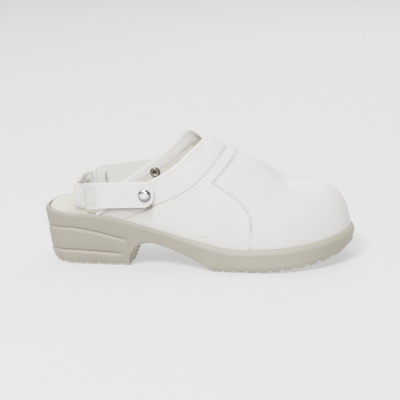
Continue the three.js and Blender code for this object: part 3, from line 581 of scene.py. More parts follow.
def add_mesh(name, points, faces, materials, slots=None, sharp=None, weld=True, painted_shade_and_dirt=None):
    """A mesh object in the frame that rides on the shoe. painted_shade_and_dirt says how dark each point is,
    from 0 to 2: mostly painted shade, shadow and reflection, with some real dirt.
    """
    mesh = bpy.data.meshes.new(name)
    mesh.from_pydata(place(points).tolist(), [], [list(map(int, f)) for f in faces])
    for material in materials:
        mesh.materials.append(material)
    if slots is not None:
        mesh.polygons.foreach_set("material_index", asarray(slots, np.int32))
    bm = bmesh.new()
    bm.from_mesh(mesh)
    if painted_shade_and_dirt is not None:
        layer = bm.verts.layers.float.new("painted_shade_and_dirt")
        for vertex, amount in zip(bm.verts, np.ravel(painted_shade_and_dirt)):
            vertex[layer] = float(amount)
    if weld:
        bmesh.ops.remove_doubles(bm, verts=bm.verts, dist=2e-6)
        bmesh.ops.dissolve_degenerate(bm, edges=bm.edges, dist=1e-7)
    bmesh.ops.recalc_face_normals(bm, faces=bm.faces)
    bm.to_mesh(mesh)
    bm.free()
    mesh.polygons.foreach_set("use_smooth", np.ones(len(mesh.polygons), bool))
    if sharp is not None:
        mesh.set_sharp_from_angle(angle=radians(sharp))
    piece = bpy.data.objects.new(name, mesh)
    bpy.context.scene.collection.objects.link(piece)
    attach(piece, "root")
    return piece


# Materials

class Nodes:
    """A short way to build one material's nodes."""

    def __init__(self, name):
        self.material = bpy.data.materials.new(name)
        self.material.use_nodes = True
        self.tree = self.material.node_tree
        self.shader = self.tree.nodes["Principled BSDF"]
        self.place = self.add("TexCoord").outputs["Object"]

    def fill(self, node, values):
        """Gives a node's inputs their values, which are constants or other nodes' outputs."""
        for key, value in values.items():
            socket = node.inputs[key.replace("_", " ") if isinstance(key, str) else key]
            if isinstance(value, bpy.types.NodeSocket):
                self.tree.links.new(value, socket)
            else:
                socket.default_value = value

    def join(self, **values):
        self.fill(self.shader, values)

    def add(self, kind, inputs=None, **settings):
        node = self.tree.nodes.new("ShaderNode" + kind)
        for key, value in settings.items():
            setattr(node, key, value)
        self.fill(node, inputs or {})
        return node

    def noise(self, scale, detail=3.0, roughness=0.55, distortion=0.0):
        inputs = dict(Scale=scale, Detail=detail, Roughness=roughness, Distortion=distortion)
        return self.add("TexNoise", dict(inputs, Vector=self.place)).outputs["Fac"]

    def cells(self, scale, feature="DISTANCE_TO_EDGE"):
        inputs = dict(Vector=self.place, Scale=scale, Randomness=1.0)
        return self.add("TexVoronoi", inputs, feature=feature).outputs["Distance"]

    def wave(self, scale, direction, **inputs):
        inputs.update(Vector=self.place, Scale=scale)
        return self.add("TexWave", inputs, bands_direction=direction).outputs["Fac"]

    def spread(self, value, low, high, to_low, to_high):
        inputs = dict(Value=value, From_Min=low, From_Max=high, To_Min=to_low, To_Max=to_high)
        return self.add("MapRange", inputs).outputs["Result"]

    def mix(self, share, colour, other):
        inputs = {"Factor": share, 6: colour, 7: (*other, 1)}
        return self.add("Mix", inputs, data_type="RGBA").outputs[2]

    def colour(self, tone, light, shade, dark=None, stops=(0.3, 0.7)):
        """A tone from shade to light. The mesh's painted_shade_and_dirt, mostly painted shade, shadow and
        reflection and partly real dirt, turns it towards the dark colour up to 1, and towards black above 1."""
        ramp = self.add("ValToRGB", {"Fac": tone})
        for element, stop, colour in zip(ramp.color_ramp.elements, stops, (shade, light)):
            element.position = stop
            element.color = (*colour, 1)
        plain = ramp.outputs["Color"]
        if dark is not None:
            painted_shade_and_dirt = self.add("Attribute", attribute_name="painted_shade_and_dirt").outputs["Fac"]
            past = self.add("Math", {0: painted_shade_and_dirt, 1: 1.0}, operation="SUBTRACT").outputs[0]
            plain = self.mix(past, self.mix(painted_shade_and_dirt, plain, dark), (0.012, 0.011, 0.01))
        self.join(Base_Color=plain)

    def roughness(self, scale, rough, stops=(0.3, 0.7)):
        self.join(Roughness=self.spread(self.noise(scale), *stops, *rough))

    def bumps(self, *layers):
        """Bumps laid over one another, each a height, a strength and a distance in metres."""
        under = {}
        for height, strength, distance in layers:
            bump = self.add("Bump", dict(under, Height=height, Strength=strength, Distance=distance))
            under = {"Normal": bump.outputs["Normal"]}
        self.join(**under)


def dimmed(colour, shares):
    return [c * k for c, k in zip(colour, shares)]


def leather_material(name, light, shade, grain=1.0, rough=(0.42, 0.56)):
    """Smooth corrected-grain leather: fine pores, faint folds and a soft uneven tone."""
    n = Nodes(name)
    n.colour(n.noise(38, 4, 0.6), light, shade, dimmed(light, (0.36, 0.34, 0.3)))
    n.roughness(160, rough)
    n.bumps((n.cells(1500), 0.22 * grain, 0.00012), (n.noise(420, 5, 0.6, 0.6), 0.3 * grain, 0.0002),
            (n.noise(70, 2), 0.3, 0.0004))
    n.join(Coat_Weight=0.12, Coat_Roughness=0.32, Specular_IOR_Level=0.42)
    return n.material


def foam_material(name, light, shade):
    """Moulded foam with a fine satin skin, small pits and a slightly uneven tone."""
    n = Nodes(name)
    n.colour(n.noise(30, 5, 0.6), light, shade, dimmed(light, (0.3, 0.285, 0.265)), (0.32, 0.68))
    n.roughness(240, (0.55, 0.7))
    pits = n.spread(n.cells(420, "F1"), 0.0, 0.12, 0.0, 1.0)
    n.bumps((n.noise(1300, 3, 0.6), 0.25, 0.00012), (pits, 0.12, 0.00015))
    n.join(Specular_IOR_Level=0.4)
    return n.material


def cloth_material(name, light, shade):
    """A fine knit lining: rows of small loops and a soft nap."""
    n = Nodes(name)
    n.colour(n.noise(60, 4), light, shade, dimmed(light, (0.3, 0.3, 0.3)))
    threads_scale = 2200 / 6.28
    loops = n.wave(threads_scale, "DIAGONAL", Distortion=1.5, Detail=1.0, Detail_Scale=2.0)
    n.bumps((loops, 0.3, 0.0002), (n.noise(900), 0.3, 0.0002))
    n.join(Roughness=0.9, Sheen_Weight=0.25, Sheen_Roughness=0.5)
    return n.material


def elastic_material(name, light, shade):
    """Gathered elastic covered in thin fabric; the mesh's painted shade darkens it in the folds and along its
    lower side.
    """
    n = Nodes(name)
    n.colour(n.noise(120, 4), light, shade, (0.34, 0.32, 0.28))
    n.roughness(300, (0.62, 0.8))
    n.bumps((n.wave(520.0, "Z", Distortion=0.4), 0.25, 0.00018), (n.noise(700, 4), 0.35, 0.0003))
    n.join(Sheen_Weight=0.12)
    return n.material


def metal_material(name, colour, rough):
    """Polished metal with faint handling marks."""
    n = Nodes(name)
    n.colour(n.noise(400), colour, dimmed(colour, (0.9, 0.9, 0.9)), (0.07, 0.07, 0.075))
    n.roughness(900, rough, (0.35, 0.65))
    n.bumps((n.noise(1400, 2), 0.06, 0.00008))
    n.join(Metallic=1.0)
    return n.material


def thread_material(name, light, shade):
    n = Nodes(name)
    n.colour(n.noise(800), light, shade)
    n.bumps((n.wave(700.0, "DIAGONAL"), 0.5, 0.0001))
    n.join(Roughness=0.65)
    return n.material


leather = leather_material("white_leather", (0.8, 0.762, 0.688), (0.74, 0.7, 0.624))
tab_leather = leather_material("strap_leather", (0.76, 0.728, 0.668), (0.7, 0.668, 0.605), 1.1, (0.4, 0.52))
lining = cloth_material("warm_lining", (0.66, 0.62, 0.51), (0.57, 0.53, 0.43))
footbed_leather = leather_material("cream_footbed", (0.64, 0.6, 0.45), (0.56, 0.52, 0.38), 1.3, (0.6, 0.75))
foam = foam_material("moulded_foam", (0.288, 0.26, 0.182), (0.238, 0.213, 0.146))
elastic = elastic_material("gathered_elastic", (0.76, 0.735, 0.68), (0.68, 0.655, 0.6))
nickel = metal_material("nickel", (0.97, 0.96, 0.94), (0.17, 0.23))
worn_metal = metal_material("worn_eyelet", (0.105, 0.1, 0.09), (0.3, 0.45))
rubbed_metal = metal_material("rubbed_eyelet", (0.31, 0.295, 0.25), (0.45, 0.55))
# A near-black colour for the bore's disc: painted shade standing for the dark hole
painted_bore_shade = thread_material("painted_bore_shade", (0.018, 0.017, 0.015), (0.01, 0.01, 0.009))
thread = thread_material("seam_thread", (0.17, 0.155, 0.125), (0.11, 0.1, 0.08))
light_thread = thread_material("strap_thread", (0.5, 0.475, 0.42), (0.36, 0.34, 0.3))


# The upper

def throat_angle(line):
    """The angle of the section whose ridge point is where a line crosses the ridge."""
    crossing_x = float(line_x(array([100.0, ridge_offset, 100.0]), True, line))
    return float(angle_at(bisected(0.0, sole_length, lambda x: ridge_x(x) < crossing_x, 40)))


def upper_angles():
    """Angles of the sections on the lateral half, crowded towards the throat."""
    rear, throat, seam = float(angle_at(upper_rear - 4.9)), throat_angle("topline"), throat_angle("collar")
    opening = lerp(rear, throat, 1 - (1 - linspace(0, 1, 131)) ** 1.4)
    band = linspace(throat, seam, 25)[1:]
    return concatenate([opening, band, linspace(seam, pi, 77)[1:]]), len(opening) - 1


def inner_depth(p, lateral, pad, puff, band_at):
    """How far the inner surface lies under the last's surface: soft wrinkles, and a step at the turn-in."""
    lined = 1 - smooth(lined_share - 0.03, lined_share + 0.03, band_at)
    wrinkle = 0.55 * wobble(p, 5.0, 2.7) + 0.24 * wobble(p, 2.6, 0.9)
    stitched = maximum(hill(band_at - lined_share - 0.07, 0.03),
                       hill(ahead_of(p, lateral, "topline") - inner_line_at, 0.7))
    in_collar = smooth(0, 0.1, band_at)
    return (upper_wall + collar_pad_in * pad + puff
            + ((wrinkle - turned_in_step) * lined - 0.28 * stitched) * in_collar)


def lining_painted_shade(p, lateral, band_at):
    """Painted shade inside: below the turn-in's edge, along its stitches, in soft patches over the cloth and
    deep towards the throat.
    """
    edge = 0.5 * hill(band_at - lined_share + 0.02, 0.035)
    line = 0.2 * hill(ahead_of(p, lateral, "topline") - inner_line_at, 0.8)
    throat = 0.55 * smooth(throat_at - 20, throat_at, p[..., 0])
    patches = 0.55 * smooth(0.25, 0.75, wobble(p, 5.0, 3.3)) * (band_at < lined_share)
    return maximum.reduce([edge, line, throat, patches]) * (band_at > 0.02)


def make_upper():
    half, throat = upper_angles()
    angles = concatenate([half, 2 * pi - half[:-1][::-1]])
    count = len(angles)
    open_section = minimum(arange(count), count - 1 - arange(count)) < throat
    top = where(open_section, maximum(meet(angles, "topline"), 0.02), 1.0)
    seam = minimum(meet(angles, "collar"), top)[:, None]
    vamp_rows, band_rows = 58, 22
    band_share = linspace(0, 1, band_rows + 1)[1:]
    v = concatenate([seam * linspace(0, 1, vamp_rows + 1), seam + (top[:, None] - seam) * band_share], 1)
    rows = v.shape[1]
    grid_angle = np.repeat(angles[:, None], rows, 1)
    lateral = is_lateral(grid_angle)
    p = last_point(grid_angle, v)
    normal = last_normal(grid_angle, v)
    in_band = np.broadcast_to(arange(rows) > vamp_rows, v.shape)
    band_at = where(in_band, arange(rows) - vamp_rows, 0) / band_rows
    clear = in_band * smooth(0, 0.05, v)
    puff = 0.55 * (1 - clip(ahead_of(p, lateral, "topline"), 0, 8) / 8) ** 2 * clear
    deep = inner_depth(p, lateral, padding(p, lateral) * clear, puff, band_at)
    outer = p + normal * (relief(p, lateral, in_band, v) + puff)[..., None]
    inner = p - normal * deep[..., None]
    # The rolled edge of the opening, half round from the outer surface to the inner one
    chain = np.r_[arange(throat + 1), arange(count - throat, count)]
    edge_out, edge_in = outer[chain, -1], inner[chain, -1]
    middle, across = (edge_out + edge_in) / 2, (edge_out - edge_in) / 2
    outward = unit(np.cross(np.gradient(middle, axis=0), across))
    outward *= where(((p[chain, -1] - p[chain, -4]) * outward).sum(-1) < 0, -1, 1)[:, None]
    outward *= norm(across, axis=-1)[:, None]
    roll_steps = 9
    turn = linspace(0, pi, roll_steps)[None, :, None]
    roll = middle[:, None] + across[:, None] * cos(turn) + outward[:, None] * sin(turn)
    points = concatenate([part.reshape(-1, 3) for part in (outer, inner, roll)])
    size = count * rows
    faces = [grid_faces(count, rows), grid_faces(count, rows, size, flip=True),
             grid_faces(len(chain), roll_steps, 2 * size), edge_faces(arange(count) * rows, size)]
    faces += [edge_faces(column * rows + arange(rows), size) for column in (0, count - 1)]
    lined_rows = arange(rows - 1) < vamp_rows + int(lined_share * band_rows)
    slots = np.zeros(sum(map(len, faces)), int)
    slots[len(faces[0]):2 * len(faces[0])] = np.tile(lined_rows, count - 1)
    # The outer leather's painted shade and dirt, and the lining's painted shade
    painted_shade_and_dirt = np.zeros(len(points))
    painted_shade_and_dirt[:size] = upper_painted_shade_and_dirt(p, lateral, v).ravel()
    painted_shade_and_dirt[size:2 * size] = lining_painted_shade(p, lateral, band_at).ravel()
    piece = add_mesh("upper_leather", points, concatenate(faces), [leather, lining], slots, painted_shade_and_dirt=painted_shade_and_dirt)
    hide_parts("upper")


# Stitches: small rounded lengths of thread laid along a path on a surface

def path_stitches(points, normals, pitch, length, radius):
    """Centres, directions and outward directions of stitches along a path of points."""
    along = length_along(points)
    count = int(along[-1] / pitch)
    at = (arange(count) + 0.5) * along[-1] / max(count, 1)
    direction = unit(sample(points, along, at + length / 2) - sample(points, along, at - length / 2))
    outward = unit(sample(normals, along, at))
    return sample(points, along, at) - outward * radius * 0.25, direction, outward, length, radius


def stitch_mesh(name, rows, material):
    """One mesh of many stitches, each a capsule that dips into the surface at both ends."""
    rings, sides = 6, 7
    s = linspace(-1, 1, rings)[:, None, None]
    swell = sqrt(clip(1 - abs(s) ** 2.4, 0.02, 1))
    turn = full_turn(sides)[:, None]
    points, faces = [], []
    for centres, directions, outwards, length, radius in rows:
        for c, d, o in zip(centres, directions, outwards):
            faces += tube_faces(rings, sides, len(points) * rings * sides)
            ring = cos(turn) * np.cross(d, o) + sin(turn) * o
            points.append(c + d * s * length / 2 - o * 0.45 * radius * s ** 2 + ring * radius * swell)
    piece = add_mesh(name, concatenate(points), faces, [material], weld=False)


def seam_path(line, offset):
    """A path ahead of a seam by an offset, from the lateral side over the ridge to the medial side."""
    v = linspace(0.03, 0.9985, 260)
    low, high = float(angle_at(20.0)) + 0 * v, pi - 1e-3 + 0 * v
    points, normals = [], []
    for lateral in (True, False):
        def is_behind(angle):
            return ahead_of(last_point(on_side(angle, lateral), v), np.full(v.shape, lateral), line) <= offset

        p, normal = upper_point(on_side(bisected(low, high, is_behind, 34), lateral), v)
        points.append(p if lateral else p[::-1])
        normals.append(normal if lateral else normal[::-1])
    return concatenate(points), concatenate(normals)


def inside_path(lateral, share):
    """A path inside the collar, at a share of the way from its seam to the opening's edge."""
    angle = on_side(linspace(float(angle_at(upper_rear + 3)), throat_angle("topline"), 240), lateral)
    v = lerp(meet(angle, "collar"), meet(angle, "topline"), share)
    p = last_point(angle, v)
    sides = np.full(len(angle), lateral)
    deep = inner_depth(p, sides, padding(p, sides), 0, np.full(len(angle), share))
    normal = last_normal(angle, v)
    return p - normal * deep[:, None], -normal


def make_seams():
    paths = [inside_path(lateral, lined_share + 0.07) for lateral in (True, False)]
    rows = [path_stitches(*path, *lining_stitch) for path in paths]
    rows.append(path_stitches(*seam_path("collar", collar_stitch_ahead), *collar_stitch))
    rows.append(path_stitches(*seam_path("vamp", -vamp_stitch_behind), *vamp_stitch))
    stitch_mesh("upper_stitches", rows, thread)


# The strap

def side_point(x, z, lateral):
    """The last's side at places in the side view."""
    x, z = np.broadcast_arrays(asarray(x, float), asarray(z, float))
    station = x.copy()
    for _ in range(12):
        angle = on_side(angle_at(station), lateral)
        low = bisected(np.zeros_like(x), np.ones_like(x), lambda v: last_point(angle, v)[..., 2] < z, 26)
        p = last_point(angle, low)
        station = station + x - p[..., 0]
    return p


def tab_inner(x, z, lateral):
    return abs(side_point(x, z, lateral)[..., 1]) + collar_pad_out + gap


def tab_surface(x, z, lateral, out):
    y = outward_sign(lateral) * (tab_inner(x, z, lateral) + out)
    return stack(np.broadcast_arrays(x, y, z), -1)


def make_tab(lateral):
    back = rivet_x(lateral) - strap_reach
    front = rivet_x(lateral) + strap_nose
    columns, rows = 110, 36
    x = lerp(back, front, (1 - cos(linspace(0, pi, columns))) / 2)[:, None]
    s = sin(linspace(-1, 1, rows) * pi / 2)[None]
    half = strap_width / 2
    end_round = strap_end_round * where(s < 0, 2.2, 1)
    for distance, radius in ((front - x, strap_nose_round), (x - back, end_round)):
        half = half - radius * (1 - rounded_edge(distance, radius))
    x, z = np.broadcast_arrays(x, strap_middle(x, lateral) + half * s)
    lift = rounded_edge(minimum(minimum(half * (1 - abs(s)), x - back), front - x), tab_edge_round)
    press = 0.35 * hill(hypot(x - rivet_x(lateral), z - rivet_z(lateral)), sqrt(60))
    beside = abs(x - back - (box_back + box_front) / 2) - (box_front - box_back) / 2
    seam_press = 0.35 * hill(maximum(beside, abs(z - strap_middle(x, lateral)) - box_reach), 0.8)
    middle = strap_thick / 2
    outer = tab_surface(x, z, lateral, middle + middle * lift - press - seam_press)
    inner = tab_surface(x, z, lateral, middle - middle * lift)
    faces = concatenate([grid_faces(columns, rows), grid_faces(columns, rows, columns * rows, flip=True)])
    # Darker towards the tab's rear end
    darker_zone = 0.6 * smooth(20, 2, x - back)
    # Painted shadow: a near-black line along the tab's lower edge stands for the shadow in the gap under it
    lower_edge = 2.0 * smooth(1.7, 0.8, half * (1 + s)) * smooth(10, 24, x - back)
    # Painted shade in the pressed box of stitches; the inner face gets the edge line and a faint painted
    # shade all over
    painted_shade_and_dirt = [maximum.reduce([seam_press * 2.0, darker_zone, lower_edge]), maximum(lower_edge, 0.12)]
    name = "strap_tab_outer_side" if lateral else "strap_tab_inner_side"
    piece = add_mesh(name, concatenate([outer, inner]), faces, [tab_leather], painted_shade_and_dirt=painted_shade_and_dirt)
    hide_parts("strap_tab_lateral" if lateral else "strap_tab_medial")


def make_tab_stitches():
    rows = []
    even = linspace(0, 1, 24)
    along = lerp(box_front, box_back, concatenate([even, 1 + 0 * even, even[::-1]]))
    side = lerp(box_reach, -box_reach, concatenate([0 * even, even, 1 + 0 * even]))
    for lateral in (True, False):
        x = rivet_x(lateral) - strap_reach + along
        path = tab_surface(x, strap_middle(x, lateral) + side, lateral, strap_thick)
        normals = np.tile([0.0, outward_sign(lateral), 0.0], (len(x), 1))
        rows.append(path_stitches(path, normals, *box_stitch))
    stitch_mesh("strap_stitches", rows, light_thread)


def elastic_path(count):
    """The gathered back's line in plan, evenly spaced, with its outward directions."""
    lap_end = rivet_at - strap_reach + elastic_lap
    inward = gap + elastic_thick / 2 + gather_depth
    inside = [float(tab_inner(lap_end, strap_middle(lap_end, lateral), lateral)) for lateral in (True, False)]
    lat, med = inward - inside[0], inside[1] - inward
    back = elastic_back + elastic_thick / 2
    turn_in = back + elastic_corner
    corners = array([(lap_end, lat), (turn_in, lat + 1), (back, lat + 2), (back, lat + 2 + elastic_corner),
                     (back, med - 2 - elastic_corner), (back, med - 2), (turn_in, med - 1), (lap_end, med)])
    t = linspace(0, 1, 60)[:, None]
    pieces = []
    for stops in ((0, 1), (1, 2, 3), (3, 4), (4, 5, 6), (6, 7)):
        a, b, c = corners[stops[0]], corners[stops[len(stops) // 2]], corners[stops[-1]]
        bend = a * (1 - t) ** 2 + 2 * b * t * (1 - t) + c * t ** 2
        pieces.append(bend if len(stops) > 2 else lerp(a, c, t))
    route = concatenate(pieces)
    along = length_along(route)
    plan = sample(route, along, linspace(0, along[-1], count))
    tangent = unit(np.gradient(plan, axis=0))
    return plan, stack([tangent[:, 1], -tangent[:, 0]], -1), tangent


def make_elastic():
    """Ruched fabric over elastic: folds across the strap, held down by rows of stitching along it."""
    count, section = 640, 56
    plan, out, tangent = elastic_path(count)
    u = linspace(0, 1, count)[:, None]
    ends = [strap_middle(rivet_x(lateral) - strap_reach, lateral) for lateral in (True, False)]
    middle = lerp(*ends, u) - elastic_drop * sin(pi * u) ** 0.8
    turn = full_turn(section)[None]
    across = np.sign(cos(turn)) * abs(cos(turn)) ** 0.55
    high = np.sign(sin(turn)) * abs(sin(turn)) ** 0.85
    hold = smooth(0, 0.1, minimum(u, 1 - u))
    phase = (2.4 * sin(9 * u + 1.0) + 1.5 * sin(23 * u + 2.0) + 1.1 * sin(3.1 * high + 14 * u)
             + 0.9 * sin(5.3 * high - 31 * u))
    turns = 2 * pi * gather_count * u
    fold = sin(turns + phase)
    second = sin(2.3 * turns + 2 * phase + 2.4 * high)
    ruche = (0.75 * fold + 0.35 * second) * (0.75 + 0.25 * sin(17 * u + 2 * high))
    ruche += 0.35 * sin(61 * u + 4.1 * high + 1.2 * sin(37 * u)) * cos(2.2 * high + 19 * u)
    channels = 0.45 + 0.55 * abs(cos(pi * 1.5 * (high + 1)))
    thick = elastic_thick / 2 - 0.4 + (0.6 + gather_depth * ruche * 0.8) * channels * hold + 0.3 * (1 - hold)
    tall = elastic_width / 2 - 0.2 + (gather_depth * 0.9 * fold + 0.5 * second) * hold
    shift = 0.25 * gather_depth * cos(turns + phase) * hold * abs(across) * np.sign(high)
    xy = plan[:, None] + out[:, None] * (thick * across)[..., None] + tangent[:, None] * shift[..., None]
    points = concatenate([xy, (middle + tall * high)[..., None]], -1)
    # Painted shade in the valleys of the folds and along the elastic's lower side
    painted_shade_and_dirt = maximum(0.95 * smooth(0.25, -0.8, ruche) * hold, 0.3 * smooth(-0.2, -1, high))
    piece = add_mesh("strap_gathered_back", points, tube_faces(count, section), [elastic], painted_shade_and_dirt=painted_shade_and_dirt)
    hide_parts("strap_elastic")


# The rivets

def lathe(profile, centre, lateral):
    """Rings of a profile of (radius, height) about an axis that runs out of the shoe's side."""
    turn = full_turn(56)
    r, h = array(profile).T[..., None]
    rings = [centre[0] + r * cos(turn), outward_sign(lateral) * h + 0 * turn, centre[1] + r * sin(turn)]
    return stack(rings, -1).reshape(-1, 3), grid_faces(len(profile), len(turn), close_columns=True)


def dome_painted_reflection(points, centre):
    """A painted reflection: the dark ring that the polished dome would mirror, widest below, put into the
    nickel's colour.
    """
    across = (points[:, 0] - centre[0]) / rivet_cap_radius
    up = (points[:, 2] - centre[1]) / rivet_cap_radius
    return 0.95 * smooth(0.25, 0.95, hypot(across + 0.05, up - 0.32))


def make_rivets():
    for lateral in (True, False):
        side = "lateral" if lateral else "medial"
        centre = (rivet_x(lateral), rivet_z(lateral))
        cap = float(tab_inner(*centre, lateral)) + strap_thick - 0.1
        radius = rivet_cap_radius
        rim = [(0.01, cap - 0.2), (radius - 0.5, cap - 0.2), (radius - 0.1, cap), (radius + 0.05, cap + 0.35)]
        dome = [(max(radius * cos(a) ** 0.9, 0.001), cap + 0.7 + (rivet_cap_rise - 0.7) * sin(a))
                for a in linspace(0, pi / 2, 16)]
        points, faces = lathe(rim + dome, centre, lateral)
        # Painted reflection: the dome's colour is darkened in a ring, as if it mirrored something dark
        shade = dome_painted_reflection(points, centre)
        piece = add_mesh("rivet_dome_" + side, points, faces, [nickel], sharp=50, painted_shade_and_dirt=shade)
        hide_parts("rivet_cap_" + side)
        ring = abs(float(side_point(*centre, lateral)[..., 1])) - upper_wall - collar_pad_in
        outer, bore, thick = rivet_ring_radius, rivet_post_radius, rivet_ring_thick
        profile = [(outer - 0.4, ring + 0.5), (outer, ring - 0.1), (outer - 0.15, ring - 0.7),
                   (outer - 0.8, ring - 1.15), (bore + 1.3, ring - thick - 0.15), (bore + 0.7, ring - thick),
                   (bore + 0.25, ring - 1.0), (bore, ring - 0.3)]
        points, faces = lathe(profile, centre, lateral)
        rubbed = np.repeat([0, 0, 0, 0, 1, 1, 0], len(faces) // (len(profile) - 1))
        piece = add_mesh("rivet_eyelet_" + side, points, faces, [worn_metal, rubbed_metal], rubbed, sharp=60)
        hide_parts("rivet_ring_" + side)
        # A near-black disc closing the bore: painted shade standing for the dark hole
        profile = [(bore + 0.02, ring - 0.35), (bore * 0.5, ring + 0.2), (0.01, ring + 0.35)]
        piece = add_mesh("rivet_bore_shade_disc_" + side, *lathe(profile, centre, lateral), [painted_bore_shade])


# The footbed

def make_footbed():
    across, count, start = 45, 220, 0.09
    half = linspace(start, pi - start, count)
    x = station_x(half)
    inset = rim_width + recess_draft + 3 * gap
    inset = inset + (upper_wall + collar_pad_in) * smooth(upper_rear - 7.5, upper_rear - 4.5, x)
    lateral, medial = inset_outline(half, inset), inset_outline(2 * pi - half, inset)
    side = linspace(-1, 1, across)[None]
    plan = lerp(lateral[:, None], medial[:, None], (side[..., None] + 1) / 2)
    low = (floor_height(x) + gap)[:, None] + 0 * side
    width = norm(medial - lateral, axis=-1)[:, None] / 2
    margin = minimum(width * (1 - abs(side)), minimum(x - x[0], x[-1] - x)[:, None])
    dish = insole_dish * (1 - side ** 2) * sin(half)[:, None]
    cup = 0.54 * hill(x - 42, 30)[:, None] * (1 - side ** 2) ** 0.8
    top = low + insole_thick - dish - cup - 1.2 * (1 - rounded_edge(margin, 1.6))
    points = concatenate([concatenate([plan, z[..., None]], -1) for z in (top, low)])
    size = count * across
    faces = [grid_faces(count, across), grid_faces(count, across, size, flip=True)]
    faces += [edge_faces(arange(count) * across + column, size) for column in (0, across - 1)]
    faces += [edge_faces(row * across + arange(across), size) for row in (0, count - 1)]
    # Painted shade: a dark line round the footbed's edge where it meets the rim, a shade over the footbed
    # ahead of its back, inside the shoe, and a darker underside
    darker_zone = maximum(0.6 * hill(margin, 0.9), 0.45 * smooth(14, 36, x)[:, None])
    piece = add_mesh("footbed", points, concatenate(faces), [footbed_leather], sharp=55,
                     painted_shade_and_dirt=[darker_zone, np.full_like(darker_zone, 0.6)])
    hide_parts("insole")


# The sole

def in_heel_block(x):
    return 1 - smooth(breast_at - 6, breast_at + 8, x)


def groove(x, name, ahead_height=0.0):
    """A side groove's height and depth: it fades out at its end, near the breast."""
    in_block = curve(GROOVES, name, x / breast_at) * heel_rim
    end = groove_ends[name]
    return lerp(ahead_height, in_block, in_heel_block(x)), groove_depth * (1 - smooth(end - 9, end, x))


def wall_rows(angle):
    """One section of the sole's wall at each angle, as heights and insets from the recess to the bottom."""
    x = station_x(angle)
    rim = rim_height(x)
    full_taper = lerp(fore_taper, heel_taper, in_heel_block(x))
    bottom = tread_height(inset_outline(angle, full_taper + bottom_edge)[..., 0]) + lug_height

    def taper(z):
        return full_taper * (rim - z) / (rim - minimum(bottom, rim / 2))

    meets = rim_overlap * smooth(upper_rear - 9, upper_rear - 5, x)
    soft = lerp(0.4, 1, smooth(105, 180, x))
    rows = [(floor_height(x), rim_width + recess_draft + 0 * x),
            (rim + rim_bevel - 0.5, rim_width + recess_draft + meets),
            (rim + rim_bevel, rim_width - 0.5 + meets * 0.6),
            (rim + rim_bevel * (0.75 - 0.55 * soft), 1.35 * (0.55 + 0.45 * soft)),
            (rim - 0.45 * rim_round * soft + 0.6 * (1 - soft), 0.4 * soft),
            (rim - rim_round * soft, 0 * x)]
    for name, share in (("upper", 0.66), ("lower", 0.33)):
        z, depth = groove(x, name, lerp(bottom, rim, share))
        low = z - groove_bevel
        rows += [(z + groove_wide, taper(z)), (z, taper(z) + depth), (low, taper(low))]
    rows += [(bottom + bottom_edge, taper(bottom)),
             (bottom + 0.25 * bottom_edge, taper(bottom) + 0.3 * bottom_edge),
             (bottom, taper(bottom) + bottom_edge)]
    for k in range(6, len(rows)):
        z, inset = rows[k]
        rows[k] = clip(z, bottom + 0.2 * (len(rows) - 1 - k), rim - rim_round - 0.1 * (k - 5)), inset
    return stack([stack(row, -1) for row in rows], 1)


def rounded(rows, radius):
    """Cuts each corner of the rows' polylines by up to a radius, twice, which rounds them."""
    for reach in (radius, radius / 2):
        parts = [rows[:, :1]]
        for k in range(1, rows.shape[1] - 1):
            here = rows[:, k]
            for other in (rows[:, k - 1], rows[:, k + 1]):
                far = norm(other - here, axis=-1, keepdims=True)
                share = minimum(reach / maximum(far, 1e-9), 0.33)
                parts.append((here + (other - here) * share)[:, None])
        parts.append(rows[:, -1:])
        rows = concatenate(parts, 1)
    return rows


def sole_angles():
    even = linspace(0, pi, 300)
    arch = breast_at + 0.25 + ARCH["at"][:5] * (arch_front - breast_at)
    extra = angle_at(concatenate([[breast_at - 6, breast_at], arch, [arch_front, 0.69 * sole_length]]))
    near = abs(even[:, None] - extra[None]).min(1) < 0.002
    return np.sort(concatenate([even[~near], extra]))


def wall_painted_shade_and_light(x, z):
    """Painted shade and light on the sole's wall: painted shade below its lit bevel and on the heel's back, a
    darker heel, painted shade in the grooves and painted light on the ledges below them.
    """
    bevel = rim_round * smooth(105, 180, x)
    below = smooth(bevel - 2.6, bevel + 0.4, rim_height(x) - z)
    dark = (wall_dark + heel_dark * (1 - smooth(90, 200, x)) + 0.3 * exp(-x / 6)) * below
    for name, end in groove_ends.items():
        height, depth = groove(x, name)
        share = depth / groove_depth * (x < end)
        # Less painted shade on the ledge below each groove, standing for the light it catches, and painted
        # shade inside the groove
        dark = dark * (1 - 0.75 * hill(z - height + 2.0, 1.1) * share)
        dark = maximum(dark, 0.9 * hill(z - height - 0.3, 0.75) * share)
    return dark


def make_sole():
    half = sole_angles()
    sides, wall_painted_light = [], []
    for angle in (half, 2 * pi - half):
        rows = rounded(wall_rows(angle), 0.6)
        plan = inset_outline(angle[:, None], rows[..., 1])
        sides.append(concatenate([plan, rows[..., :1]], -1))
        wall_painted_light.append(wall_painted_shade_and_light(station_x(angle)[:, None], rows[..., 0]))
    ring = concatenate([sides[0], sides[1][:, ::-1]], 1)
    painted_shade_and_dirt = concatenate([wall_painted_light[0], wall_painted_light[1][:, ::-1]], 1)
    faces = grid_faces(len(half), ring.shape[1], close_columns=True)
    piece = add_mesh("sole_body", ring, faces, [foam], sharp=48, painted_shade_and_dirt=painted_shade_and_dirt)
    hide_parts("sole")


def clipped(polygon, point, normal):
    """The part of a polygon on one side of a line."""
    kept = []
    for i in range(len(polygon)):
        a, b = polygon[i - 1], polygon[i]
        da, db = np.dot(a - point, normal), np.dot(b - point, normal)
        if (da > 0) != (db > 0):
            kept.append(a + (b - a) * da / (da - db))
        if db > 0:
            kept.append(b)
    return kept


def area(polygon):
    return 0.5 * abs(sum(a[0] * b[1] - a[1] * b[0] for a, b in zip(polygon, polygon[1:] + polygon[:1])))


